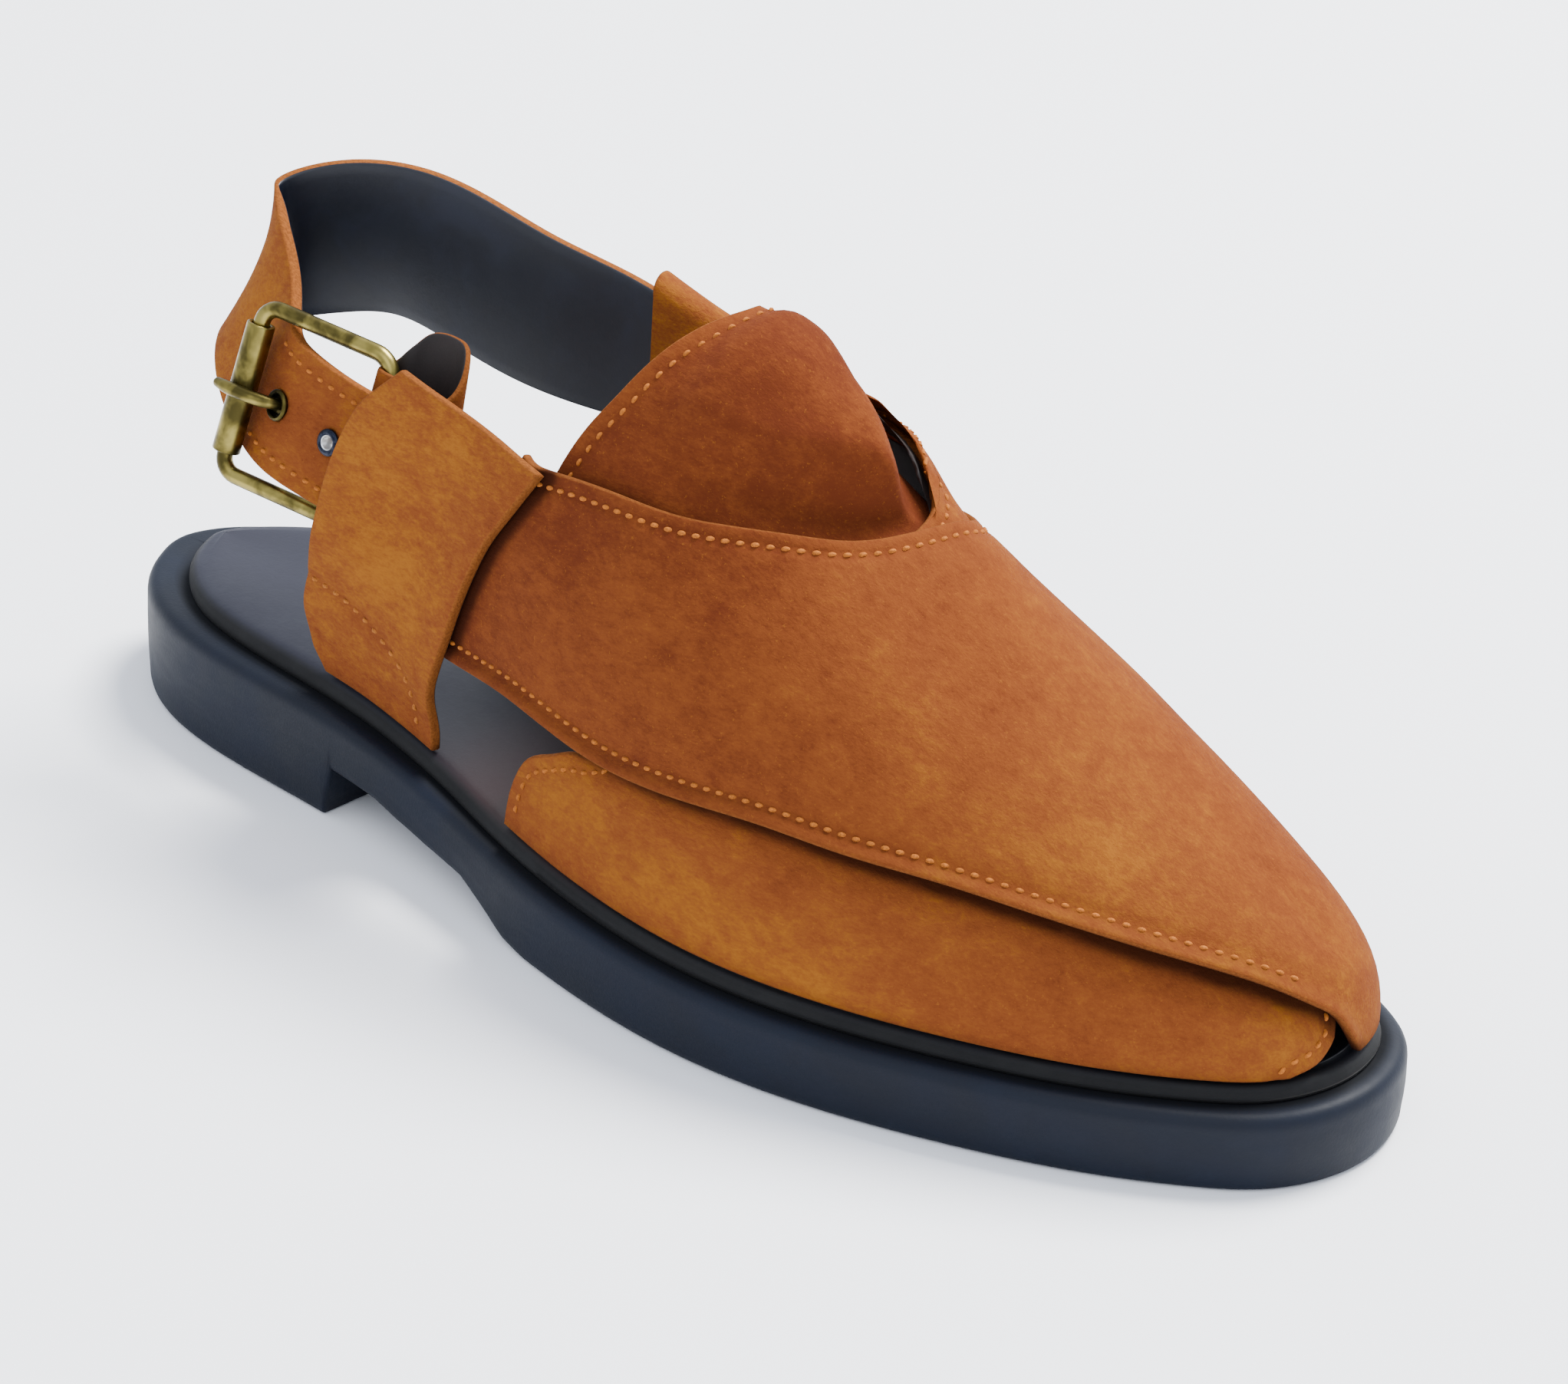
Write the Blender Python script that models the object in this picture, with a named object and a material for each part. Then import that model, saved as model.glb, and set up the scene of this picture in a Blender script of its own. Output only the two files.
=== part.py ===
"""Peshawari chappal, the right shoe of a pair: crossed suede panels, two upright side bands, a heel
strap with a roller buckle, and a moulded rubber sole.

Sizes are in millimetres: x runs from the heel's back to the toe, y to the inner side of the foot,
z up from the floor. Each mesh is then moved so that the bottom centre of the whole shoe is the
origin, and scaled to metres. The uppers lie on one surface, the last: a ridge over the foot joined
to the footbed's edge by quarter ellipses. A place on it has a station (the x of its foot on the
footbed) and a wrap (-1 at the outer foot, 0 on the ridge, +1 at the inner foot).
"""

import math

import bmesh
import bpy
import numpy as np

METRES = 0.001
CLEARANCE = 0.3

# Outline of the outsole: heel's back, toe's tip, and (x, outer edge y, inner edge y) between them.
HEEL_BACK = (1.5, 0.0)
TOE_TIP = (298.5, 10.0)
OUTLINE_STATIONS = (
    (4.5, -8.5, 9.5),
    (11, -17, 17),
    (24, -26, 26.5),
    (45, -31.8, 32),
    (78, -34.2, 32),
    (110, -37.5, 30.5),
    (139, -44, 32.5),
    (170, -49.5, 39.5),
    (197, -50, 45),
    (222, -45.5, 48),
    (246, -37.5, 47.5),
    (266, -28.5, 43.5),
    (282, -18.5, 37),
    (293, -8, 28),
)
# (x, height of the outsole's top)
OUTSOLE_TOP = (
    (0, 22.6),
    (60, 22.3),
    (85, 21.6),
    (110, 19.3),
    (135, 16.6),
    (160, 15.2),
    (200, 14.4),
    (250, 14.3),
    (280, 14.4),
    (298.5, 14.8),
)
# (x, height of the outsole's underside): heel block, breast step, raised waist, forefoot
OUTSOLE_UNDER = (
    (0, 0),
    (82, 0),
    (84.5, 10.6),
    (97, 10),
    (105, 8.4),
    (115, 7.3),
    (127, 6.8),
    (136, 3.4),
    (141, 1),
    (148, 0),
    (298.5, 0),
)
HEEL_BREAST = (82, 84.5)
# (x, how far the footbed's edge is set in from the outsole's)
FOOTBED_MARGIN = (
    (0, 10.5),
    (15, 8.5),
    (40, 6.5),
    (80, 5.3),
    (110, 4.4),
    (140, 3.8),
    (200, 4.2),
    (260, 4.4),
    (298.5, 5.0),
)
# (x, thickness of the footbed)
FOOTBED_THICKNESS = ((0, 4.8), (90, 4.7), (180, 4.0), (298, 3.6))
LEATHER_SET_IN = 0.6
LEATHER_FOOT_GAP = 0.5
# Ridge of the last over the foot: (x, y, z)
RIDGE = (
    (60, 2, 150),
    (100, 3.5, 138),
    (130, 5.5, 126.5),
    (150, 7, 116.5),
    (170, 8.5, 104.5),
    (195, 9.8, 89),
    (223, 10.5, 73),
    (243, 10.5, 62.2),
    (262, 10.5, 51.5),
    (275, 10.5, 44.5),
    (286, 10.5, 37),
)
RIDGE_END = 286
FAN_START = 225

PANEL_THICKNESS = 2.2
UNDER_PANEL_THICKNESS = 2.0
UNDER_PANEL_DEPTH = 1.2
UNDER_PANEL_TUCK = 3.0
ROW_CROWDING = 1.35
# Top panel, which crosses from the outer band to the inner side of the toes: (station, wrap)
TOP_PANEL_THROAT = (
    (128.6, -0.77),
    (131.6, -0.77),
    (152.3, -0.69),
    (169.5, -0.59),
    (184.6, -0.43),
    (194.7, -0.22),
    (197.7, 0.2),
    (194, 0.4),
    (186, 0.56),
    (175, 0.75),
    (162.5, 0.88),
    (153, 0.955),
    (146, 1.0),
)
TOP_PANEL_FRONT = (
    (111.5, -0.98),
    (132, -0.97),
    (158.9, -0.96),
    (181, -0.94),
    (199.7, -0.91),
    (216.4, -0.88),
    (231.5, -0.86),
    (246, -0.82),
    (260, -0.77),
    (274.4, -0.75),
    (287.4, -0.73),
    (292, -0.83),
    (292.8, 0.93),
    (291.6, 1.0),
)
TOP_PANEL_REAR = ((128.6, -0.77), (124.6, -0.84), (118.5, -0.91), (114, -0.955), (111.5, -0.98))
# Under panel, which crosses from the inner band to the outer side of the toes: (station, wrap)
UNDER_PANEL_THROAT = (
    (114.5, 0.72),
    (124.5, 0.72),
    (139.5, 0.71),
    (159, 0.66),
    (177, 0.5),
    (190, 0.3),
    (199, 0.0),
    (196, -0.3),
    (186, -0.62),
    (175, -0.8),
    (162, -0.955),
    (153.3, -0.972),
    (146.3, -0.982),
    (139.7, -0.992),
    (136.6, -1.0),
)
UNDER_PANEL_FRONT = (
    (112, 0.975),
    (132, 0.968),
    (159, 0.955),
    (181, 0.935),
    (200, 0.91),
    (216, 0.88),
    (232, 0.85),
    (246, 0.82),
    (260, 0.77),
    (274, 0.75),
    (287, 0.72),
    (292.3, 0.8),
    (292.4, -0.86),
    (292.5, -1.0),
)
UNDER_PANEL_REAR = ((114.5, 0.72), (113, 0.84), (112, 0.92), (112, 0.975))
# How far the under panel dips to pass below the top one: inner side, (wrap, station of its throat)
TOP_PANEL_THROAT_INNER = (
    (0.0, 197.5),
    (0.25, 197.7),
    (0.4, 194),
    (0.56, 186),
    (0.75, 175),
    (0.88, 162.5),
    (0.955, 153),
    (1.0, 146),
)

# Tongue: outline (station, wrap), and (x, lift of its crown over the last)
TONGUE_THICKNESS = 1.8
TONGUE_DEPTH = 2.9
THROAT_CROSSING = 0.1
TONGUE_TOP = (
    (141.2, -0.78),
    (142.6, -0.66),
    (144.8, -0.54),
    (147.6, -0.36),
    (150.6, -0.18),
    (152.3, 0.02),
    (150, 0.2),
    (146, 0.4),
    (140, 0.6),
    (133, 0.76),
)
TONGUE_TIP_STATION = 235
TONGUE_TIP_WRAP = 0.5
TONGUE_LIFT = (
    (130, 2.0),
    (145, 2.6),
    (152, 3.6),
    (158, 9.0),
    (165, 12.4),
    (171, 13.2),
    (176, 13.0),
    (182, 11.2),
    (187, 10.2),
    (192, 9.0),
    (200, 6.0),
)

# Side bands: (height over the footbed, x of the rear edge), (height, x of the front edge)
BAND_THICKNESS = 2.2
OUTER_BAND_STANDOFF = 2.9
OUTER_BAND_BULGE = 3.1
OUTER_BAND_REAR = (
    (0, 76.6),
    (5, 72.8),
    (12, 72.8),
    (24, 76.4),
    (33, 79.0),
    (46, 82.4),
    (59, 88.4),
    (70, 98.8),
)
OUTER_BAND_FRONT = (
    (0, 110.4),
    (8, 110.8),
    (18, 113.8),
    (28, 117.4),
    (38, 120.8),
    (49, 125.4),
    (58, 130.8),
    (66.5, 135.8),
)
INNER_BAND_REAR = (
    (0, 77),
    (10, 74.5),
    (22, 78.5),
    (35, 87),
    (55, 97.5),
    (72, 106.5),
    (80, 111.5),
)
INNER_BAND_FRONT = (
    (0, 110),
    (18, 113.5),
    (35, 118),
    (55, 124),
    (70, 128),
    (80, 129.5),
)
# (height over the footbed, distance of the inner band's middle outside the footbed's edge)
INNER_BAND_STANCE = ((0, -1.15), (4, -1.0), (18, 1.25), (40, 2.2), (64, 3.2), (80, 3.6))
INNER_BAND_TOP = (80.5, 77.5)
TUNNEL_WIDTH = 5.8
FLAP_DEPTH = 25
FLAP_REAR_SHIFT = 3

# Heel strap, from its tail in the outer band round the heel to the inner band:
# (x, y, z of its middle, x and y that its width gains for each mm of height, width, thickness)
HEEL_STRAP = (
    (106, -27.3, 71.7, 0.13, 0.13, 26, 2.0),
    (92, -26.4, 73.3, 0.12, 0.19, 26, 2.0),
    (79, -26.5, 75.0, 0.14, 0.24, 25.2, 2.0),
    (65.4, -26.35, 77.5, 0.2, 0.26, 26, 2.1),
    (55, -22.6, 80.2, 0.49, 0.2, 27, 2.5),
    (44.1, -15.2, 85.6, 0.76, 0.18, 29.5, 2.6),
    (35.2, -6.8, 91.9, 0.63, -0.05, 31, 2.6),
    (34.2, 2.2, 94.1, 0.09, -0.29, 31.5, 2.6),
    (43.4, 10.8, 97.2, -0.11, -0.18, 31.5, 2.6),
    (59.7, 16.8, 97.3, 0.18, 0.04, 31.5, 2.6),
    (81.4, 20.8, 91.6, 0.2, 0.09, 31, 2.6),
    (103, 24.6, 88.6, 0.08, 0.07, 28.4, 2.4),
    (122, 26.25, 86.6, 0.05, 0.06, 23, 2.2),
)
PRONG_HOLE_AT = 3.19
FREE_EYELET_AT = 2.1

# Roller buckle: place of the roller's middle, direction towards the fixed bar, and up along the bar
ROLLER_MIDDLE = (54.1, -27.95, 79.5)
BUCKLE_FORWARD = (0.962, 0.222, -0.155)
BUCKLE_UP = (0.082, 0.292, 0.953)
BUCKLE_LENGTH = 30.2
BUCKLE_WIDTH = 33.8
WIRE_RADIUS = 1.6
ROLLER_LENGTH = 26
ROLLER_RADIUS = 2.75
ROLLER_CORNER = 3.4
BAR_CORNER = 5.0
PRONG_RING_WIRE = 0.85
PRONG_RING_START = 555
# Prong from its ring to its tip: (distance from the roller, height over the frame, radius)
PRONG_SHANK = (
    (27, -2.6, 0.9),
    (23.5, -2.4, 1.0),
    (18, -2.2, 1.1),
    (13.6, -2.3, 1.1),
    (11.4, -2.0, 1.0),
    (10.2, -1.0, 1.0),
    (9.4, 0.2, 1.0),
    (8.6, 1.4, 1.0),
    (7.2, 2.7, 1.15),
    (4.6, 3.8, 1.15),
    (1.4, 4.15, 1.15),
    (-1.4, 4.05, 1.1),
    (-3.5, 3.6, 0.9),
)
# Eyelets: bore, barrel and flange radii
EYELET_STANDOFF = 0.42
PRONG_EYELET = (2.15, 2.45, 3.1)
FREE_EYELET = (1.3, 1.75, 2.65)

# Anchor strip: closed path round the fixed bar and the slack loop before it,
# (x, y, z of its middle, x and y that its width gains for each mm of height, width)
ANCHOR_THICKNESS = 1.2
ANCHOR_SLOT = (9.0, 10.0, 3.4)
ANCHOR_PATH = (
    (86.6, -23.2, 76.5, 0.09, 0.28, 20),
    (83.5, -23.4, 76.5, 0.09, 0.3, 20),
    (81.45, -22.7, 76.5, 0.09, 0.3, 20),
    (80.7, -20.8, 76.5, 0.09, 0.3, 20),
    (81.4, -18.8, 76.5, 0.09, 0.3, 20),
    (83.3, -17.9, 76.5, 0.09, 0.3, 20),
    (86.2, -17.1, 77, 0.08, 0.29, 21.5),
    (88.8, -15.2, 78, 0.07, 0.28, 24),
    (91.4, -12.6, 79, 0.06, 0.26, 26.5),
    (94.8, -10.9, 79.8, 0.04, 0.24, 27.5),
    (98.8, -11.6, 80, 0.03, 0.21, 28),
    (103.4, -15.0, 80, 0.02, 0.18, 28),
    (107.6, -18.8, 80, 0.02, 0.15, 28),
    (110.6, -21.6, 80, 0.02, 0.14, 28),
    (110.9, -23.6, 80, 0.02, 0.13, 28),
    (107.6, -24.15, 80, 0.02, 0.13, 28),
    (102, -23.85, 79.5, 0.03, 0.14, 27.5),
    (96, -23.5, 78, 0.05, 0.18, 26),
    (91, -23.2, 77, 0.07, 0.24, 22),
)

BRASS = ((0.36, 0.31, 0.15), 0.32, 0.95)
SUEDE = ((0.33, 0.13, 0.045), 0.92, 0.0)
SUEDE_DARK = ((0.24, 0.085, 0.03), 0.92, 0.0)
FOOTBED = ((0.05, 0.045, 0.065), 0.42, 0.0)
RUBBER = ((0.025, 0.032, 0.04), 0.5, 0.0)


# Curves through tables


def smooth(rows, at, column=1):
    """Monotone cubic through a table's rows at the places asked for, level beyond its ends."""
    rows = np.asarray(rows, float)
    x, y = rows[:, 0], rows[:, column]
    step = np.diff(x)
    secant = np.diff(y) / step
    slope = np.concatenate([secant[:1], np.zeros(len(x) - 2), secant[-1:]])
    before, after = secant[:-1], secant[1:]
    same_way = before * after > 0
    heavy, light = 2 * step[1:] + step[:-1], step[1:] + 2 * step[:-1]
    total = np.where(same_way, heavy / np.where(same_way, before, 1) + light / np.where(same_way, after, 1), 1)
    slope[1:-1] = np.where(same_way, (heavy + light) / total, 0)
    at = np.clip(np.asarray(at, float), x[0], x[-1])
    cell = np.clip(np.searchsorted(x, at, side="right") - 1, 0, len(x) - 2)
    h = step[cell]
    t = (at - x[cell]) / h
    return (
        y[cell] * (1 + 2 * t) * (1 - t) ** 2
        + y[cell + 1] * t * t * (3 - 2 * t)
        + h * slope[cell] * t * (1 - t) ** 2
        - h * slope[cell + 1] * t * t * (1 - t)
    )


def straight(rows, at):
    """Straight lines through a table's rows."""
    rows = np.asarray(rows, float)
    return np.interp(at, rows[:, 0], rows[:, 1])


def ease(value, low, high):
    """0 below low, 1 above high, and a smooth step between."""
    t = np.clip((np.asarray(value, float) - low) / (high - low), 0, 1)
    return t * t * (3 - 2 * t)


def unit(vectors):
    vectors = np.asarray(vectors, float)
    return vectors / np.linalg.norm(vectors, axis=-1, keepdims=True)


def knots_between(points, power):
    """Parameter values of points, each step being the chord to the given power."""
    chords = np.linalg.norm(np.diff(points, axis=0), axis=1)
    return np.concatenate([[0], np.cumsum(chords**power)])


def spline(points, at, knots, closed=False):
    """Cubic spline through points at given knots, natural at its ends or closed on itself."""
    points = np.asarray(points, float)
    if closed:
        points = np.vstack([points, points[:1]])
    count = len(points)
    h = np.diff(knots)
    secant = np.diff(points, axis=0) / h[:, None]
    system = np.zeros((count, count))
    right = np.zeros_like(points)
    for i in range(1, count - 1):
        system[i, i - 1 : i + 2] = (h[i], 2 * (h[i - 1] + h[i]), h[i - 1])
        right[i] = 3 * (h[i] * secant[i - 1] + h[i - 1] * secant[i])
    if closed:
        system[0, 0], system[0, -1] = 1, -1
        system[-1, 0], system[-1, 1] = 2 * (h[-1] + h[0]), h[-1]
        system[-1, -2] += h[0]
        right[-1] = 3 * (h[0] * secant[-1] + h[-1] * secant[0])
    else:
        system[0, :2], right[0] = (2, 1), 3 * secant[0]
        system[-1, -2:], right[-1] = (1, 2), 3 * secant[-1]
    slope = np.linalg.solve(system, right)
    at = np.asarray(at, float)
    cell = np.clip(np.searchsorted(knots, at, side="right") - 1, 0, count - 2)
    t = ((at - knots[cell]) / h[cell])[:, None]
    width = h[cell][:, None]
    return (
        points[cell] * (1 + 2 * t) * (1 - t) ** 2
        + points[cell + 1] * t * t * (3 - 2 * t)
        + width * slope[cell] * t * (1 - t) ** 2
        - width * slope[cell + 1] * t * t * (1 - t)
    )


def even_curve(points, shares, closed=False):
    """Spline through points, sampled at the given shares of its length."""
    points = np.asarray(points, float)
    loop = np.vstack([points, points[:1]]) if closed else points
    knots = knots_between(loop, 0.5)
    fine = spline(points, np.linspace(0, knots[-1], 40 * len(loop)), knots, closed)
    return along_line(fine, shares)


def along_line(points, shares):
    """Straight pieces through points, sampled at the given shares of their length."""
    points = np.asarray(points, float)
    run = knots_between(points, 1.0)
    at = np.asarray(shares) * run[-1]
    return np.stack([np.interp(at, run, points[:, axis]) for axis in range(points.shape[1])], axis=1)


# Plan of the sole


def outline():
    """The outsole's outline in plan, from the heel's back round the outer side and the toe."""
    outer = [(x, low) for x, low, _ in OUTLINE_STATIONS]
    inner = [(x, high) for x, _, high in OUTLINE_STATIONS[::-1]]
    shares = np.arange(720) / 720
    return even_curve([HEEL_BACK] + outer + [TOE_TIP] + inner, shares, closed=True)


def inset(ring, distance):
    """A closed ring in plan moved inwards along its own normals."""
    along = unit(np.roll(ring, -1, 0) - np.roll(ring, 1, 0))
    inwards = np.stack([-along[:, 1], along[:, 0]], axis=1)
    return ring + inwards * np.broadcast_to(distance, len(ring))[:, None]


def halves(ring):
    """The outer and inner halves of a ring, each as rows of rising x."""
    ring = np.roll(ring, -int(ring[:, 0].argmin()), 0)
    tip = int(ring[:, 0].argmax())
    outer, inner = ring[: tip + 1], np.vstack([ring[tip:], ring[:1]])[::-1]
    return outer[np.argsort(outer[:, 0])], inner[np.argsort(inner[:, 0])]


OUTSOLE_EDGE = outline()
FOOTBED_EDGE = inset(OUTSOLE_EDGE, smooth(FOOTBED_MARGIN, OUTSOLE_EDGE[:, 0]))
LEATHER_EDGE = inset(FOOTBED_EDGE, LEATHER_SET_IN)
LEATHER_OUTER, LEATHER_INNER = halves(LEATHER_EDGE)
LEATHER_TIP = LEATHER_EDGE[:, 0].max()
BOX_LOW, BOX_HIGH = OUTSOLE_EDGE.min(axis=0), OUTSOLE_EDGE.max(axis=0)
ORIGIN = np.array([*(BOX_LOW + BOX_HIGH) / 2, 0.0])


def footbed_top(x):
    return smooth(OUTSOLE_TOP, x) + straight(FOOTBED_THICKNESS, x)


def leather_edge_y(x, side):
    """y of the foot of the leather at a station, on the outer side (-1) or the inner side (+1)."""
    outer = np.interp(x, LEATHER_OUTER[:, 0], LEATHER_OUTER[:, 1])
    inner = np.interp(x, LEATHER_INNER[:, 0], LEATHER_INNER[:, 1])
    return np.where(np.asarray(side) < 0, outer, inner)


# The last


def ridge_station(station):
    """x on the ridge of the rib that stands at a station; ahead of the fan's start they lean back."""
    t = np.clip((station - FAN_START) / (LEATHER_TIP - FAN_START), 0, 1)
    return station - (LEATHER_TIP - RIDGE_END) * t**2


def last_point(station, wrap):
    """Point of the last: a quarter ellipse from the ridge down to the footbed."""
    station, wrap = np.broadcast_arrays(np.asarray(station, float), np.asarray(wrap, float))
    x = ridge_station(station)
    y, z = smooth(RIDGE, x, 1), smooth(RIDGE, x, 2)
    foot_y = leather_edge_y(station, wrap)
    foot_z = footbed_top(station) + LEATHER_FOOT_GAP
    out = np.abs(wrap)
    up = np.sqrt(np.clip(1 - out * out, 0, 1))
    return np.stack([x + (station - x) * out, y + (foot_y - y) * out, foot_z + (z - foot_z) * up], -1)


def unrolled(places):
    """Plan coordinates in which a rib's angle runs evenly from the ridge to the foot."""
    places = np.asarray(places, float)
    station, wrap = places[..., 0], places[..., 1]
    share = np.arcsin(np.clip(np.abs(wrap), 0, 1)) * 2 / math.pi
    x = ridge_station(station)
    y = smooth(RIDGE, x, 1)
    return np.stack([x + (station - x) * share, y + (leather_edge_y(station, wrap) - y) * share], -1)


def rolled(plan):
    """Station and wrap of points given in unrolled plan coordinates, by halving the interval."""
    plan = np.asarray(plan, float)
    x, y = plan[..., 0], plan[..., 1]
    side = np.where(y < smooth(RIDGE, np.minimum(x, RIDGE_END), 1), -1.0, 1.0)
    low, high = np.minimum(x, LEATHER_TIP), np.full_like(x, LEATHER_TIP)
    for _ in range(40):
        middle = (low + high) / 2
        ridge_x = ridge_station(middle)
        ridge_y = smooth(RIDGE, ridge_x, 1)
        reach = leather_edge_y(middle, side) - ridge_y
        share = (y - ridge_y) / np.where(np.abs(reach) < 1e-6, 1e-6 * side, reach)
        too_far = ridge_x + (middle - ridge_x) * share > x
        low, high = np.where(too_far, low, middle), np.where(too_far, middle, high)
    station = (low + high) / 2
    ridge_x = ridge_station(station)
    ridge_y = smooth(RIDGE, ridge_x, 1)
    foot = np.stack([station - ridge_x, leather_edge_y(station, side) - ridge_y], -1)
    from_ridge = np.stack([x - ridge_x, y - ridge_y], -1)
    share = (from_ridge * foot).sum(-1) / np.maximum((foot * foot).sum(-1), 1e-9)
    return station, side * np.sin(np.clip(share, 0, 1) * math.pi / 2)


def on_last(plan, offset):
    """Points at an offset outside the last, given in unrolled plan coordinates."""
    plan = np.asarray(plan, float)
    step = 0.75

    def at(dx, dy):
        return last_point(*rolled(plan + np.array([dx, dy])))

    normal = unit(np.cross(at(step, 0) - at(-step, 0), at(0, step) - at(0, -step)))
    return at(0, 0) + normal * np.broadcast_to(offset, plan.shape[:-1])[..., None]


# Meshes


def material(name, look):
    colour, roughness, metallic = look
    made = bpy.data.materials.new(name)
    made.use_nodes = True
    shader = made.node_tree.nodes["Principled BSDF"]
    shader.inputs["Base Color"].default_value = (*colour, 1.0)
    shader.inputs["Roughness"].default_value = roughness
    shader.inputs["Metallic"].default_value = metallic
    return made


def add_object(name, points, faces, look):
    """An object from points in millimetres, with its faces turned outwards."""
    points = (np.asarray(points, float).reshape(-1, 3) - ORIGIN) * METRES
    mesh = bpy.data.meshes.new(name)
    mesh.from_pydata(points.tolist(), [], faces)
    surface = bmesh.new()
    surface.from_mesh(mesh)
    bmesh.ops.recalc_face_normals(surface, faces=surface.faces)
    if surface.calc_volume(signed=True) < 0:
        bmesh.ops.reverse_faces(surface, faces=surface.faces)
    surface.to_mesh(mesh)
    surface.free()
    mesh.shade_smooth()
    mesh.set_sharp_from_angle(angle=math.radians(50))
    mesh.materials.append(material(name, look))
    made = bpy.data.objects.new(name, mesh)
    bpy.context.scene.collection.objects.link(made)
    return made


def as_cutter(helper):
    helper.hide_render = True
    helper.display_type = "WIRE"
    return helper


def combine(body, helper, operation):
    modifier = body.modifiers.new(helper.name, "BOOLEAN")
    modifier.operation = operation
    modifier.object = as_cutter(helper)


def quads(grid, wrap_columns=False):
    """Faces between neighbouring cells of a grid of point numbers."""
    if wrap_columns:
        grid = np.hstack([grid, grid[:, :1]])
    corners = (grid[:-1, :-1], grid[:-1, 1:], grid[1:, 1:], grid[1:, :-1])
    return [tuple(face) for face in np.stack(corners, -1).reshape(-1, 4).tolist()]


def sheet_faces(rows, columns, closed):
    """Faces of a sheet with an outer and an inner grid, joined along its free edges."""
    outer = np.arange(rows * columns).reshape(rows, columns)
    inner = outer + rows * columns
    faces = quads(outer, closed) + quads(inner[::-1], closed)
    rims = [np.stack([inner[0], outer[0]]), np.stack([outer[-1], inner[-1]])]
    faces += [face for rim in rims for face in quads(rim, closed)]
    if not closed:
        sides = [np.stack([outer[:, 0], inner[:, 0]]), np.stack([inner[:, -1], outer[:, -1]])]
        faces += [face for side in sides for face in quads(side)]
    return faces


def add_sheet(name, outer, inner, look, closed=False):
    rows, columns = outer.shape[:2]
    points = np.concatenate([outer.reshape(-1, 3), inner.reshape(-1, 3)])
    return add_object(name, points, sheet_faces(rows, columns, closed), look)


def add_tube(name, path, radii, across, sides, look, closed=False):
    """A round wire along a path that lies in the plane across the given direction."""
    path, across = np.asarray(path, float), unit(across)
    if closed:
        along = np.roll(path, -1, 0) - np.roll(path, 1, 0)
    else:
        along = np.gradient(path, axis=0)
    beside = unit(np.cross(unit(along), across))
    angles = np.arange(sides) * 2 * math.pi / sides
    circle = np.cos(angles)[:, None, None] * beside + np.sin(angles)[:, None, None] * across
    points = path + circle * np.broadcast_to(radii, len(path))[None, :, None]
    grid = np.arange(sides * len(path)).reshape(sides, len(path))
    grid = np.vstack([grid, grid[:1]])
    faces = quads(grid, closed)
    if not closed:
        faces += [tuple(grid[:-1, 0].tolist()), tuple(grid[:-1, -1][::-1].tolist())]
    return add_object(name, points, faces, look)


def add_turned(name, centre, axis, profile, sides, look):
    """A closed profile of (radius, height) turned round an axis."""
    axis = unit(axis)
    beside = unit(np.cross(axis, (0.3, 0.2, 1.0)))
    third = np.cross(axis, beside)
    angles = np.arange(sides) * 2 * math.pi / sides
    spokes = np.cos(angles)[:, None] * beside + np.sin(angles)[:, None] * third
    profile = np.asarray(profile, float)
    points = np.asarray(centre) + spokes[:, None] * profile[None, :, :1] + axis * profile[None, :, 1:]
    grid = np.arange(sides * len(profile)).reshape(sides, len(profile))
    faces = quads(np.vstack([grid, grid[:1]]), wrap_columns=True)
    return add_object(name, points, faces, look)


def add_pin(name, centre, axis, radius, half_length, sides, look):
    """A plain cylinder, used as a cutter."""
    axis = unit(axis)
    beside = unit(np.cross(axis, (0.3, 0.2, 1.0)))
    third = np.cross(axis, beside)
    angles = np.arange(sides) * 2 * math.pi / sides
    rim = radius * (np.cos(angles)[:, None] * beside + np.sin(angles)[:, None] * third)
    ends = [np.asarray(centre) + rim + axis * end for end in (-half_length, half_length)]
    grid = np.arange(2 * sides).reshape(2, sides)
    faces = quads(grid, wrap_columns=True) + [tuple(grid[0, ::-1].tolist()), tuple(grid[1].tolist())]
    return add_object(name, np.concatenate(ends), faces, look)


# Sole


def sole_stations():
    """x of the rows across the sole: close together at both tips, with the breast's own two."""
    low, high = HEEL_BACK[0], TOE_TIP[0]
    rows = (low + high) / 2 - (high - low) / 2 * np.cos(np.linspace(0, math.pi, 38))[1:-1]
    rows = rows[np.abs(rows - np.mean(HEEL_BREAST)) > 4]
    return np.sort(np.concatenate([rows, HEEL_BREAST]))


def station_ring(edge, stations):
    """A ring with the same x in both halves: heel's tip, outer side, toe's tip, inner side."""
    outer, inner = halves(edge)
    heel, toe = edge[edge[:, 0].argmin()], edge[edge[:, 0].argmax()]
    span = np.clip((stations - HEEL_BACK[0]) / (TOE_TIP[0] - HEEL_BACK[0]), 0, 1)
    x = heel[0] + span * (toe[0] - heel[0])
    lower = np.stack([x, np.interp(x, outer[:, 0], outer[:, 1])], axis=1)
    upper = np.stack([x, np.interp(x, inner[:, 0], inner[:, 1])], axis=1)
    return np.vstack([heel, lower, toe, upper[::-1]])


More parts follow.
